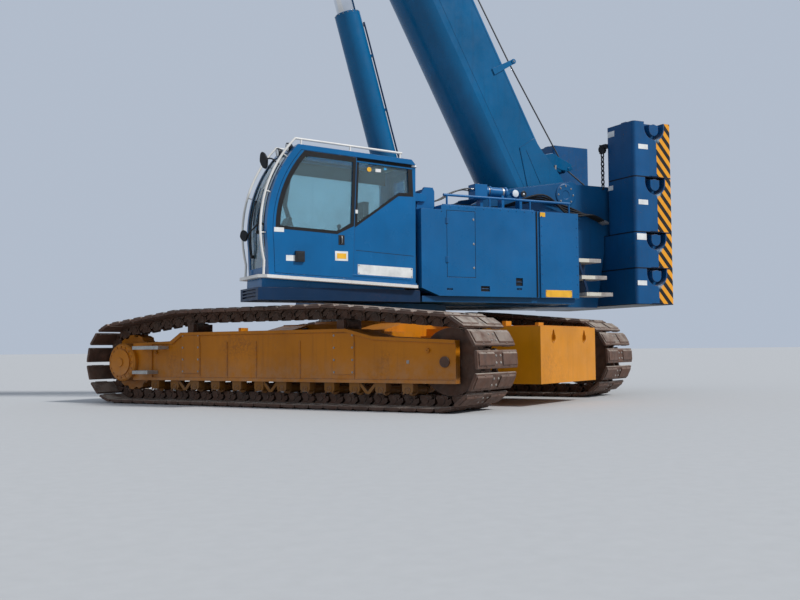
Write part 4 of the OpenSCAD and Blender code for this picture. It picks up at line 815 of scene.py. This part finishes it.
# Lashing chain at the back of the main frame: welded links over a small grooved pulley, on a
# bracket bolted to the inner face of the left block stack.
PULLEY_X, PULLEY_Y, PULLEY_Z, LINK_PITCH = -4.02, 0.715, 4.31, 0.080
drum_black = simple("drum_black", (0.03, 0.032, 0.036), rough=0.5, grain=60.0)
hooks = [block(-4.13, -4.03, 0.66, 0.785, 4.335, 4.405), block(-4.05, -3.99, 0.668, 0.690, 4.24, 4.40),
         lathe([(0.006, -0.022), (0.074, -0.022), (0.074, -0.016), (0.050, -0.006), (0.050, 0.006),
                (0.074, 0.016), (0.074, 0.022), (0.006, 0.022)],
               facing((PULLEY_X, PULLEY_Y, PULLEY_Z), (0, 1, 0)), 28),
         pipe([(PULLEY_X, y, PULLEY_Z) for y in (0.68, 0.742)], 0.013, 10)]
parts = []
for k in range(9):
    wide_x, wide_y = (0.027, 0.0) if k % 2 else (0.0, 0.027)
    z = PULLEY_Z - 0.015 - LINK_PITCH * k
    loop = [(PULLEY_X + wide_x * c, PULLEY_Y + wide_y * c, z + 0.052 * s)
            for c, s in round_points(14) + [(1.0, 0.0)]]
    parts.append(pipe(loop, 0.0120, 7))
made("lashing_chain", parts, drum_black, "upperworks", smooth=True)
made("lashing_pulley", hooks, drum_black, "upperworks", bevel=0.002)

# Hoist drum: a cast black drum between the main frame's plates, with greased steel rope wound
# in its grooves in one full layer.
ROPE, DRUM_ROPE_R, TURNS, TURN_STEPS, WOUND_HALF = 0.0125, 0.2615, 22, 28, 0.44
rope_steel = simple("rope_steel", (0.10, 0.095, 0.09), rough=0.5, metal=0.6, grain=500.0, bump=0.5)
dress(drum_black, "hoist_drum")
points = []
for k in range(TURNS * TURN_STEPS + 1):
    a = 2 * math.pi * k / TURN_STEPS
    points.append((DRUM_PIN[0] + DRUM_ROPE_R * math.cos(a),
                   -WOUND_HALF + 2 * WOUND_HALF * k / (TURNS * TURN_STEPS),
                   DRUM_PIN[1] + DRUM_ROPE_R * math.sin(a)))
made("drum_rope", [pipe(points, ROPE, 6)], rope_steel, "hoist", smooth=True)

# Cab: welded steel shell in glossy blue with a sliding door. Windows are bonded tinted
# panes, each with a black ceramic edge; the door and rear panes almost touch.
CAB_LEAN = -2.5
CAB = at(0.168, 0, 1.76, CAB_LEAN, "Y")
FRONT_X, FRONT_Z, FRONT_R = 0.5603, 0.72, 1.8347
SIDE_FACE, DOOR_FACE = 1.4570, 1.4995
cab_blue = painted("paint_cab", (0.004, 0.112, 0.29), gloss=0.2, wear=0.25, rust=0.05, dust=0.08,
                   streaks=0.15)
dress(cab_blue, "cab_frame", "cab_door")
glass = Shader("tinted_glass")
glass.shader.inputs["Transmission Weight"].default_value = 0.93
glass.shader.inputs["IOR"].default_value = 1.35
glass.shader.inputs["Coat Weight"].default_value = 0.4
smear = glass.cloud(2.2, 6.0, 0.4, 0.75, roughness=0.6)
tinted_glass = glass.finish(glass.mix(smear, (0.56, 0.80, 0.86), (0.50, 0.70, 0.75)),
                            glass.cloud(3.4, 6.0, 0.45, 0.75, 0.015, 0.11, 0.65),
                            glass.noise(1.1, 2.0), 0.02, 0.001, 0.001)
dress(tinted_glass, "cab_glass", "cab_door_glass")


def ring(outer, inner, y0, y1, place=Matrix()):
    """The strip between two (x, z) outlines with as many points each."""
    n = len(outer)
    v = [(x, y, z) for y in (y0, y1) for line in (outer, inner) for x, z in line]
    f = []
    for i in range(n):
        j = (i + 1) % n
        f += [(i, j, n + j, n + i), (2 * n + j, 2 * n + i, 3 * n + i, 3 * n + j),
              (j, i, 2 * n + i, 2 * n + j), (n + i, n + j, 3 * n + j, 3 * n + i)]
    return moved(v, f, place)


def front_arc(inset, z0, z1, steps=14):
    """Points of the cab's curved front, moved in, from one height to another."""
    r = FRONT_R - inset
    return [(FRONT_X + math.sqrt(r * r - (z - FRONT_Z) ** 2), z)
            for z in [z0 + (z1 - z0) * k / steps for k in range(steps + 1)]]


def door_pane(i):
    """Outline of the door's pane, moved in."""
    return ([(1.085 + i, 0.815 + i), (1.325, 0.675 + i)] + front_arc(0.15 + i, 0.675 + i, 1.785 - i)
            + [(1.085 + i, 1.785 - i)])


def rear_pane(i):
    """Outline of the pane behind the door, moved in."""
    return [(0.115 + i, 1.362 + i), (0.33, 1.345 + i), (1.027 - i, 0.81 + i), (1.027 - i, 1.777 - i),
            (0.15 + i, 1.777 - i)]


door_band = [(1.115, 0.835), (1.325, 0.700)] + front_arc(0.198, 0.700, 1.728) + [(1.115, 1.728)]
rear_edge = [(0.085, 1.335), (0.335, 1.318), (1.054, 0.765), (1.054, 1.835), (0.125, 1.835)]
rear_band = [(0.165, 1.385), (0.335, 1.368), (1.000, 0.850), (1.000, 1.745), (0.190, 1.745)]
door_strip = [(1.034, 0.045), (1.050, 0.045), (1.050, 0.766), (1.034, 0.766)]
seals = [ring(rear_edge, rear_band, SIDE_FACE, 1.4588, CAB),
         ring(rear_pane(0.002), rear_pane(0.016), 1.4380, 1.4575, CAB),
         slab(door_strip, SIDE_FACE, 1.4588, CAB)]
# The screen's two black pillars.
for y in (0.700, 1.372):
    front, back = (front_arc(inset, 0.10, 1.80, 18) for inset in (-0.003, 0.006))
    seals.append(ring(front, back, y, y + 0.024, CAB))
made("cab_seals", seals, rubber, "cab")
made("door_seals", [ring(door_pane(-0.020), door_band, 1.4985, 1.5020, CAB),
                    ring(door_pane(0.004), door_pane(0.018), 1.4822, 1.4990, CAB)], rubber, "door")

# Door furniture: a bent steel grip in a black moulded recess and a moulded latch box. Blank
# white and yellow plates of thin sheet are stuck on the door's panel.
handle = [(1.397, 1.5045, 2.335), (1.397, 1.522, 2.35), (1.397, 1.522, 2.425), (1.397, 1.5045, 2.445)]
made("door_boxes", [block(1.351, 1.444, DOOR_FACE, 1.5045, 2.319, 2.459),
                    block(1.978, 2.113, DOOR_FACE, 1.5360, 2.052, 2.203),
                    block(2.00, 2.09, 1.5360, 1.5390, 2.075, 2.18)], plastic, "door", bevel=0.003)
made("door_handle", [pipe(handle, 0.007, 10)], bolt_steel, "door", smooth=True)
made("door_labels", [block(2.277, 2.424, DOOR_FACE, 1.5022, 2.464, 2.527),
                     block(2.114, 2.248, DOOR_FACE, 1.5022, 2.062, 2.142),
                     block(1.297, 1.50, DOOR_FACE, 1.5018, 2.088, 2.226)], label_white, "door")
made("door_sign", [block(1.325, 1.470, 1.5016, 1.5030, 2.118, 2.196)], label_yellow, "door")

# Side panel behind the door: a long blank white plate on four rivets, black seam lines in the
# sheet, and bare round and square stickers on the two panes.
label_blue = simple("label_blue", (0.05, 0.35, 0.62), rough=0.35, grain=30.0, bump=0.02)
plate = [(1.122, 2.05), (0.216, 2.019), (0.218, 1.869), (1.123, 1.905)]
fold = [(1.152, 2.2505), (1.152, 2.2575), (0.197, 2.2035), (0.197, 2.1965)]
disc = lathe(sleeve(0.002, 0.036, 0, 0.0015), facing((0.916, 1.4385, 3.462), (0, 1, 0)), 24)
made("blank_name_plate", [slab(plate, SIDE_FACE, 1.4587)], label_white, "cab", bevel=0.0006)
rivets = [part for x, z in ((0.235, 2.004), (0.235, 1.886), (1.105, 2.034), (1.105, 1.92))
          for part in bolt((x, SIDE_FACE, z), (0, 1, 0), 0.007, 0.0022)]
made("name_plate_rivets", rivets, bolt_steel, "cab")
made("side_panel_line", [block(0.155, 0.162, SIDE_FACE, 1.4586, 1.85, 2.20), slab(fold, SIDE_FACE, 1.4586)],
     rubber, "cab")
made("yellow_disc", [disc], label_yellow, "cab")
made("white_sticker", [block(0.725, 0.815, 1.4382, 1.4398, 3.432, 3.480)], label_white, "cab")
made("blue_sticker", [block(0.632, 0.674, 1.4382, 1.4398, 3.472, 3.508)], label_blue, "cab")
made("lower_sticker", [block(1.125, 1.165, 1.4822, 1.4838, 2.79, 2.845)], label_white, "door")

# Lamps: a domed roof lamp over the rear window and two round work lights at the roof's front
# edge, clear glass in moulded black housings.
made("roof_lamp", [lathe([(0.003, 0), (0.052, 0), (0.052, 0.018), (0.040, 0.045), (0.003, 0.052)],
                         at(0.175, 1.43, 3.548), 24)], lens_clear, "cab", smooth=True)
LAMP_TILT = 12
housing = [(0.01, -0.075), (0.042, -0.06), (0.066, -0.01), (0.066, 0.012), (0.058, 0.012)]
parts, panes = [], []
for y in (0.86, 1.27):
    place = at(2.04, y, 1.872, 90 + LAMP_TILT, "Y", CAB)
    parts += [lathe(housing, place, 28),
              block(-0.012, 0.012, -0.012, 0.012, -0.10, 0.0, at(2.02, y, 1.872, base=CAB))]
    panes.append(lathe([(0.003, 0.006), (0.057, 0.006), (0.05, 0.012), (0.003, 0.015)], place, 28))
made("work_lamps", parts, plastic, "cab", smooth=True)
made("work_lamp_glass", panes, lens_clear, "cab", smooth=True)

# Mirrors: glass in black moulded shells on bent tube arms clamped to the guard rails. Each
# one has its shell's middle, its arm's foot, half its width and half its height.
MIRRORS = (((2.41, 1.05, 3.545), (2.30, 1.36, 3.44), 0.060, 0.125),
           ((2.705, 1.04, 2.44), (2.50, 1.37, 2.52), 0.060, 0.080))
chrome = simple("rod_chrome", (0.78, 0.79, 0.80), rough=0.07, metal=1.0, grain=14.0, bump=0.01)
arms, shells, faces = [], [], []
for middle, foot, w, h in MIRRORS:
    (px, py, pz), (qx, qy, qz) = middle, foot
    arms.append(pipe(curve([foot, (qx + 0.05, qy - 0.10, qz + 0.09), (px - 0.04, py + 0.06, pz + 0.02),
                            middle], 6), 0.011, 10))
    outline = [(w * math.cos(t) * (1 - 0.12 * abs(math.sin(2 * t))) * 1.05, h * math.sin(t) * 1.05)
               for t in [2 * math.pi * k / 20 for k in range(20)]]
    turned = facing(middle, (-0.80, -0.58, -0.12)) @ at(turn=90) @ at(turn=-16, axis="Y")
    shells.append(slab(outline, -0.024, 0.020, turned))
    faces.append(slab([(x * 0.88, z * 0.88) for x, z in outline], 0.019, 0.0215, turned))
made("mirror_arms", arms, plastic, "cab", smooth=True)
made("mirror_shells", shells, plastic, "cab", bevel=0.008)
made("mirror_glass", faces, chrome, "cab")

# Two parallelogram wipers lie against the curved screen: black arms on round pivots, rubber
# blades. Each has its Y and the heights between which its arm lies.
arms, blades = [], []
for y, low, high in ((0.90, 0.30, 1.10), (1.24, 0.62, 1.42)):
    line = [spot(CAB, x, y - 0.05 + 0.10 * k / 10, z)
            for k, (x, z) in enumerate(front_arc(-0.030, low, high, 10))]
    edge = [spot(CAB, x, y + 0.05, z) for x, z in front_arc(-0.010, high - 0.36, high + 0.20, 12)]
    start = spot(CAB, front_arc(-0.012, low, low + 0.1, 1)[0][0], y - 0.05, low)
    arms += [pipe(line, 0.008, 8), pipe([p + Vector((0, 0.028, 0)) for p in line], 0.005, 8),
             lathe(chamfered(0.004, 0.026, 0.03, 0.016, 0.036, -0.02),
                   facing(start, heading(CAB, 1, 0, -0.1)), 18)]
    blades.append(pipe(edge, 0.0065, 6))
made("wiper_arms", arms, plastic, "cab", smooth=True)
made("wiper_blades", blades, rubber, "cab")

# Guard and sill: off-white tube rails, rubbed back to metal at their bends, each foot in a
# turned collar, over a sill plate with a serrated walking edge.
guard_white = painted("paint_guard", (0.70, 0.68, 0.64), gloss=0.35, wear=0.5, rust=0.12, dust=0.2,
                      streaks=0.3)
dress(guard_white, "cab_guard")
collar = [(0.0135, 0), (0.034, 0), (0.034, 0.006), (0.018, 0.009), (0.0135, 0.018)]
made("guard_feet", [lathe(collar, at(x, y, 1.8872, base=CAB), 16) for x in (0.33, 1.15, 1.916)
                    for y in (0.670, 1.455)], guard_white, "cab", smooth=True)
parts = []
for k in range(46):
    x = 0.03 + 0.05 * k
    tooth = [(x, -0.052), (x + 0.045, -0.052), (x + 0.03, -0.044), (x, -0.044)]
    parts.append(slab(tooth, 1.512, 1.537, CAB))
made("sill_serration", parts, worn_steel, "cab")

# Driver's place: sprung seat in dark cloth between moulded consoles with ribbed rubber boots,
# push buttons, arm and back pads, two pedals, and a monitor beside the windscreen.
SEAT_X, SEAT_Y = 0.86, 1.049
seat_cloth = simple("seat_cloth", (0.035, 0.037, 0.043), rough=0.92, grain=420.0, bump=0.6)
screen_glass = simple("screen_glass", (0.01, 0.014, 0.018), rough=0.08, grain=20.0, coat=1.0)
dress(seat_cloth, "cab_seat")
boot = [(0.005, 0), (0.046, 0.0), (0.040, 0.014), (0.044, 0.02), (0.034, 0.034), (0.037, 0.04),
        (0.022, 0.056), (0.005, 0.06)]
button = [(0.002, 0), (0.008, 0), (0.008, 0.008), (0.002, 0.009)]
moulds, pads = [], []
for side in (-1, 1):
    place = at(SEAT_X + 0.38, SEAT_Y + side * 0.305, 0.68, base=CAB)
    moulds += [lathe(boot, place, 20), block(-0.34, -0.08, -0.042, 0.042, 0.0, 0.035, place)]
    moulds += [lathe(button, at(-0.045 + 0.018 * k, side * 0.022, 0.001, base=place), 10) for k in range(4)]
    pads.append(block(-0.34, -0.06, -0.036, 0.036, 0.035, 0.052, place))
place = at(1.93, 0.86, 0.74, -28, "Y", CAB)
moulds.append(block(-0.02, 0.025, -0.13, 0.13, -0.02, 0.19, place))
moulds += [block(1.80, 1.96, y - 0.045, y + 0.045, 0.062, 0.080, CAB) for y in (0.93, 1.12)]
for k in range(5):
    pads.append(block(-0.03, 0.0, -0.20 + 0.083 * k, -0.14 + 0.083 * k, 0.40, 0.80,
                      at(SEAT_X + 0.01, SEAT_Y - 0.02, 0.08, base=CAB)))
made("console_moulds", moulds, plastic, "cab", bevel=0.003)
made("arm_pads", pads, seat_cloth, "cab", bevel=0.008)
made("monitor", [block(-0.0225, -0.0195, -0.115, 0.115, 0.0, 0.175, place)], screen_glass, "cab")

# Cab lining: two pale felt panels and a rolled sun blind under the roof, and dark moulded
# trims round the far window.
lining = simple("roof_lining", (0.34, 0.34, 0.33), rough=0.9, grain=160.0, bump=0.4)
FAR_Y0, FAR_Y1 = 0.7005, 0.713
parts = [block(x0, x1, 0.705, 1.39, 1.805, 1.824, CAB) for x0, x1 in ((0.17, 0.54), (1.66, 1.90))]
parts.append(lathe(sleeve(0.004, 0.028, 0, 0.62), at(1.88, 0.74, 1.76, -90, "X", CAB), 18))
made("roof_lining", parts, lining, "cab")
far_trim = [(1.700, 0.825), (1.775, 0.825), (1.886, 1.134), (1.850, 1.560), (1.765, 1.575), (1.815, 1.134)]
made("far_trim", [block(0.20, 1.88, FAR_Y0, FAR_Y1, 1.60, 1.80, CAB), slab(far_trim, FAR_Y0, FAR_Y1, CAB)],
     plastic, "cab", bevel=0.003)

# Telescopic boom: six bent-plate tubes, each a flat back and sides welded to a rounded
# belly; sprayed in one go, streaked by grease from the slide pads at every mouth.
BOOM_RISE = 61.5
BOOM = at(BOOM_PIN[0], 0, BOOM_PIN[1], -BOOM_RISE, "Y")
SECTIONS = ["boom", "section_2", "section_3", "section_4", "section_5", "section_6"]
boom_blue = painted("paint_boom_blue", (0.001, 0.098, 0.232), gloss=0.28, wear=0.3, rust=0.06, dust=0.06,
                    streaks=0.35)
dress(boom_blue, "boom_base", *["boom_" + section for section in SECTIONS[1:]])
BASE_WIDTH, WIDTH_STEP = 0.95, 0.07


def half_width(i):
    """Half the width of section i, counted from 1 at the foot."""
    return (BASE_WIDTH - WIDTH_STEP * (i - 1)) / 2


def side_weld(points, side, radius, sides=6):
    """A weld bead along (s, out, n) points, out from the base section's side face."""
    return pipe([spot(BOOM, s, side * (half_width(1) + out), n) for s, out, n in points], radius, sides)


foot_plate = [(-0.23, 0.004, -0.42), (0.30, 0.004, -0.52), (1.08, 0.004, -0.30), (1.10, 0.004, 0.05)]
tab = [(0.36 + 0.1 * k, 0.0105 if k < 7 else 0.0005, -0.22 + 0.003 * k) for k in range(8)]
welds = []
for side in (-1, 1):
    for s0, s1, n in ((-0.2, 10.8, -0.552), (1.12, 10.8, 0.045)):
        welds.append(side_weld([(s0 + (s1 - s0) * k / 12, 0.0, n) for k in range(13)], side, 0.0035))
    welds += [side_weld(tab, side, 0.006), side_weld(foot_plate, side, 0.010, 8)]
made("boom_welds", welds, boom_blue, "boom", smooth=True)

# Slide pads: bolted clamp plates around each mouth hold the plastic pads that the next
# section runs on. Every mouth stands out further and is slimmer than the one before.
MOUTH, MOUTH_STEP, RIM, RIM_STEP, BACK_STEP = 10.95, 0.19, 0.030, 0.002, 0.035
CLAMP_BACK, CLAMP_FRONT, CLAMP_REACH, BOLT_ROWS = 0.105, 0.015, 0.09, (-0.085, -0.035)
pad_plastic = simple("pad_plastic", (0.52, 0.50, 0.40), rough=0.5, grain=70.0)
for i, body in enumerate(SECTIONS[:5], 1):
    mouth = MOUTH + MOUTH_STEP * (i - 1)
    rim = RIM - RIM_STEP * (i - 1)
    wide = half_width(i) + rim
    back = 0.10 - BACK_STEP * (i - 1) + rim
    inner = half_width(i + 1)
    s0, s1 = mouth - CLAMP_BACK, mouth - CLAMP_FRONT
    plates, heads, pads = [], [], []
    for side in (-1, 1):
        under, over = side * (wide - 0.001), side * (wide + 0.010)
        for n in (-0.16, -0.46):
            plates.append(block(s0, s1, under, over, n - CLAMP_REACH, n + CLAMP_REACH, BOOM))
            for dn in (-0.062, 0.0, 0.062):
                for ds in BOLT_ROWS:
                    heads += bolt(spot(BOOM, mouth + ds, over, n + dn), (0, side, 0), 0.010, 0.009)
        plates.append(block(s0, s1, side * 0.10, side * (wide - 0.10), back - 0.001, back + 0.009, BOOM))
        for y in (0.14, wide - 0.14):
            for ds in BOLT_ROWS:
                heads += bolt(spot(BOOM, mouth + ds, side * y, back + 0.009), heading(BOOM, 0, 0, 1), 0.010,
                              0.009)
        pads.append(block(mouth - 0.03, mouth + 0.006, side * (inner + 0.002), side * (inner + 0.013), -0.50,
                          -0.10, BOOM))
    made("mouth_plates_%d" % i, plates, boom_blue, body, bevel=0.002)
    made("mouth_bolts_%d" % i, heads, bolt_steel, body)
    made("slide_pads_%d" % i, pads, pad_plastic, body)

# Rope gear at the boom's foot: the lead roller's arm of two flame-cut plates on a tube, its
# bare steel strut, and bolted caps on the pins of the roller and of the rope guide.
GUIDE_PIN, ROLLER_PIN, CAP_R = (2.44, 0.31), (0.30, 0.65), 0.045
arm = [(0.62, 0.098), (0.80, 0.098), (0.74, 0.28), (0.69, 0.46), (0.35, 0.735), (0.25, 0.73), (0.24, 0.65),
       (0.345, 0.49), (0.53, 0.305)]
caps, heads = [], []
for side in (-1, 1):
    for (s, n), y in ((GUIDE_PIN, 0.4905), (ROLLER_PIN, 0.1155)):
        place = at(s, side * y, n, -90 * side, "X", BOOM)
        caps.append(lathe(chamfered(0.004, CAP_R, 0.010, CAP_R * 0.85, 0.014), place, 24))
        heads += bolt(spot(place, 0, 0, 0.0135), (0, side, 0), 0.012, 0.012)
axle = pipe([spot(BOOM, ROLLER_PIN[0], y, ROLLER_PIN[1]) for y in (-0.262, 0.262)], 0.024, 20)
strut = [pipe([spot(BOOM, s, 0.262, n), spot(BOOM, 0.29, 0.262, 0.27)], r, 14)
         for s, n, r in ((0.47, 0.40, 0.021), (0.30, 0.285, 0.032))]
made("roller_caps", caps, boom_blue, "boom", bevel=0.002)
made("roller_cap_bolts", heads, bolt_steel, "boom")
made("arm_plates", [slab(arm, side * 0.232, side * 0.250, BOOM) for side in (-1, 1)] + [axle], boom_blue,
     "boom", bevel=0.004)
made("arm_strut", strut, worn_steel, "boom", smooth=True)

# Load sensor's cable: one rubber-sheathed line along the boom's back, held every metre or so
# by a folded steel clip.
CABLE_Y, CABLE_N, CLIP_PITCH = -0.33, 0.108, 1.15
clips = [block(s - 0.02, s + 0.02, CABLE_Y - 0.015, CABLE_Y + 0.015, CABLE_N - 0.010, CABLE_N + 0.010, BOOM)
         for s in [1.3 + CLIP_PITCH * k for k in range(9)]]
cable = [spot(BOOM, 0.9 + 0.4 * k, CABLE_Y, CABLE_N) for k in range(25)]
made("boom_cable", [pipe(cable, 0.008, 8)], rubber, "boom", smooth=True)
made("boom_cable_clips", clips, bolt_steel, "boom", bevel=0.002)

# Hoist rope: one taut fall of steel rope from the head's lead sheave along the boom's back,
# over guide and lead roller to the drum. It is cut at the joints so that it can pay out.
LEAD_PIN, LEAD_R, FALL_Y = (12.2, -0.035), 0.1855, 0.05


def rope_line(a, b, steps):
    """One straight run of the rope."""
    return pipe([a + (b - a) * k / steps for k in range(steps + 1)], ROPE, 10)


guide = spot(BOOM, GUIDE_PIN[0], 0.308, GUIDE_PIN[1] + 0.026 + ROPE)
roller = spot(BOOM, ROLLER_PIN[0], FALL_Y, ROLLER_PIN[1] + 0.062 + ROPE)
lead_top = spot(BOOM, LEAD_PIN[0], 0, LEAD_PIN[1] + LEAD_R + ROPE)
along = [guide + (lead_top - guide) * t for t in (0.72, 0.80, 0.86, 0.92, 0.96, 1.0)]
made("rope_foot", [rope_line(roller, guide, 12), rope_line(guide, along[0], 16)], rope_steel, "boom",
     smooth=True)
for k in range(5):
    part = made("rope_span_%d" % (k + 1), [rope_line(along[k], along[k + 1], 24)], rope_steel, None,
                smooth=True)
    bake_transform(part)
wrap = []
for k in range(15):
    a = math.radians(90 - 9.5 * k)
    wrap.append(spot(BOOM, LEAD_PIN[0] + (LEAD_R + ROPE) * math.cos(a), 0,
                     LEAD_PIN[1] + (LEAD_R + ROPE) * math.sin(a)))
made("rope_head", [pipe(wrap, ROPE, 10)], rope_steel, "section_6", smooth=True)
# The last fall leaves the roller and touches the drum's rope layer at a tangent.
toward = Vector((DRUM_PIN[0], FALL_Y, DRUM_PIN[1])) - roller
leave_turn = math.atan2(-toward.z, -toward.x) + math.acos(DRUM_ROPE_R / toward.length)
leave = Vector((DRUM_PIN[0] + DRUM_ROPE_R * math.cos(leave_turn), FALL_Y,
                DRUM_PIN[1] + DRUM_ROPE_R * math.sin(leave_turn)))
part = made("rope_to_drum", [rope_line(roller, leave, 24)], rope_steel, None, smooth=True)
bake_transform(part)

# Boom head: sheaves of dark cast steel between welded cheeks, with bolted caps on their pins
# and a round lamp on each side.
LOAD_PIN = (12.4, -1.23)
dress(drum_black, "head_sheaves", "hook_block")
parts, heads, panes = [], [], []
for side in (-1, 1):
    for (s, n), r in ((LOAD_PIN, 0.10), (LEAD_PIN, 0.085)):
        place = at(s, side * 0.3005, n, -90 * side, "X", BOOM)
        parts.append(lathe(chamfered(0.004, r, 0.010, r * 0.8, 0.016), place, 30))
        heads += bolt_ring(place, r * 0.66, 0.0155, 6, (0, side, 0), 0.009, 0.009)
    place = at(11.98, side * 0.302, -0.62, -90 * side, "X", BOOM)
    parts.append(lathe([(0.01, 0), (0.055, 0), (0.062, 0.03), (0.062, 0.05), (0.054, 0.05)], place, 24))
    panes.append(lathe([(0.003, 0.044), (0.053, 0.044), (0.045, 0.052), (0.003, 0.055)], place, 24))
made("head_caps", parts, boom_blue, "section_6", bevel=0.002)
made("head_bolts", heads, bolt_steel, "section_6")
made("head_lamps", panes, lens_clear, "section_6", smooth=True)

# Hook block: black cheeks with three slanting orange bands painted on each, greased sheave
# pins under bolted caps, and a forged hook with a sprung safety latch.
label_orange = simple("label_orange", (0.80, 0.22, 0.03), rough=0.35, grain=30.0, bump=0.02)
FALLS, CHEEK_HALF, BAND_PITCH = 1.0, 0.09, 0.07
load = spot(BOOM, LOAD_PIN[0], 0, LOAD_PIN[1])
low = load.z - FALLS
left, right = load.x - CHEEK_HALF, load.x + CHEEK_HALF
parts, heads, bands = [], [], []
for side in (-1, 1):
    place = at(load.x, side * 0.2345, low, -90 * side)
    parts.append(lathe(chamfered(0.004, 0.072, 0.008, 0.05, 0.016), place, 24))
    heads += bolt_ring(place, 0.055, 0.0105, 4, (0, side, 0), 0.008, 0.008, math.pi / 4)
    for z in [low - 0.10 - BAND_PITCH * k for k in range(3)]:
        band = [(left, z), (right, z + 0.06), (right, z + 0.025), (left, z - 0.035)]
        bands.append(slab(band, side * 0.2078, side * 0.2090))
latch = [(load.x + 0.045, low - 0.60), (load.x + 0.062, low - 0.592), (load.x + 0.128, low - 0.672),
         (load.x + 0.116, low - 0.684)]
made("block_pin_caps", parts, worn_steel, "hook", smooth=True)
made("block_bolts", heads, bolt_steel, "hook")
made("block_bands", bands, label_orange, "hook")
made("hook_latch", [slab(latch, -0.026, 0.026)], worn_steel, "hook", bevel=0.002)

# Luffing cylinder: honed tube in boom blue with a bolted gland, chrome rod drawn out of it,
# and two steel return pipes in clamps along its upper side.
HEAD_PIN = spot(BOOM, 7.276, 0, -1.32)
FOOT_PIN = Vector((-0.6, 0, 2.0))
lean = math.atan2(HEAD_PIN.z - FOOT_PIN.z, HEAD_PIN.x - FOOT_PIN.x)
CYLINDER = Matrix.Translation(FOOT_PIN) @ Matrix.Rotation(-lean, 4, "Y")
GLAND_X, GLAND_BOLTS = 4.4400, 0.202
dress(chrome, "cylinder_rod")
dress(boom_blue, "cylinder_barrel")
gland = [(0.1604, 0.0), (0.195, 0.0), (0.195, 0.022), (0.172, 0.034), (0.1604, 0.034)]
parts = [lathe(gland, at(GLAND_X, 0, 0, 90, "Y", CYLINDER), 48)]
heads, pipes = [], []
for c, s in round_points(16):
    heads += bolt(spot(CYLINDER, GLAND_X + 0.0005, GLAND_BOLTS * c, GLAND_BOLTS * s),
                  heading(CYLINDER, 1, 0, 0), 0.009, 0.012)
for y, z in ((0.105, 0.212), (0.145, 0.190)):
    run = curve([(0.55, y, z - 0.02), (0.75, y, z), (2.4, y, z), (4.10, y, z), (4.20, y, z - 0.015)], 8)
    pipes.append(pipe([spot(CYLINDER, *p) for p in run], 0.014, 10))
turned = at(turn=-32, base=CYLINDER)
parts += [block(x - 0.02, x + 0.02, -0.035, 0.035, 0.185, 0.252, turned) for x in (1.0, 1.9, 2.8, 3.7)]
made("cylinder_rings", parts, boom_blue, "barrel", smooth=True)
made("gland_bolts", heads, bolt_steel, "barrel")
# The return pipes take the dark navy with its painted shade.
made("cylinder_pipes", pipes, shade_dark_blue, "barrel", smooth=True)

# Studio: a broad pale floor and a soft sky, with one high sun-like lamp that shines from behind
# the camera's right shoulder.
FLOOR_REACH, SUN_STRENGTH, SUN_SPREAD, SUN_TURN = 500, 3.1, 0.12, (44, 0, 217)
SKY_COLOUR, SKY_STRENGTH = (0.74, 0.84, 1.0, 1.0), 0.60
floor = bpy.data.meshes.new("floor")
floor.from_pydata([(x, y, 0) for x, y in ((-FLOOR_REACH, -FLOOR_REACH), (FLOOR_REACH, -FLOOR_REACH),
                                          (FLOOR_REACH, FLOOR_REACH), (-FLOOR_REACH, FLOOR_REACH))], [],
                  [(0, 1, 2, 3)])
floor_thing = bpy.data.objects.new("floor", floor)
scene.collection.objects.link(floor_thing)
s = Shader("studio_floor")
floor.materials.append(s.finish(s.mix(s.noise(9.0, 5.0), (0.40, 0.40, 0.395), (0.45, 0.45, 0.445)), 0.88,
                                s.noise(40.0, 4.0), 0.05, 0.002))
world = bpy.data.worlds.new("studio")
scene.world = world
world.use_nodes = True
sky = world.node_tree.nodes["Background"]
sky.inputs["Color"].default_value = SKY_COLOUR
sky.inputs["Strength"].default_value = SKY_STRENGTH
lamp_data = bpy.data.lights.new("sun", "SUN")
lamp_data.energy = SUN_STRENGTH
lamp_data.angle = SUN_SPREAD
lamp = bpy.data.objects.new("sun", lamp_data)
lamp.rotation_euler = [math.radians(a) for a in SUN_TURN]
scene.collection.objects.link(lamp)
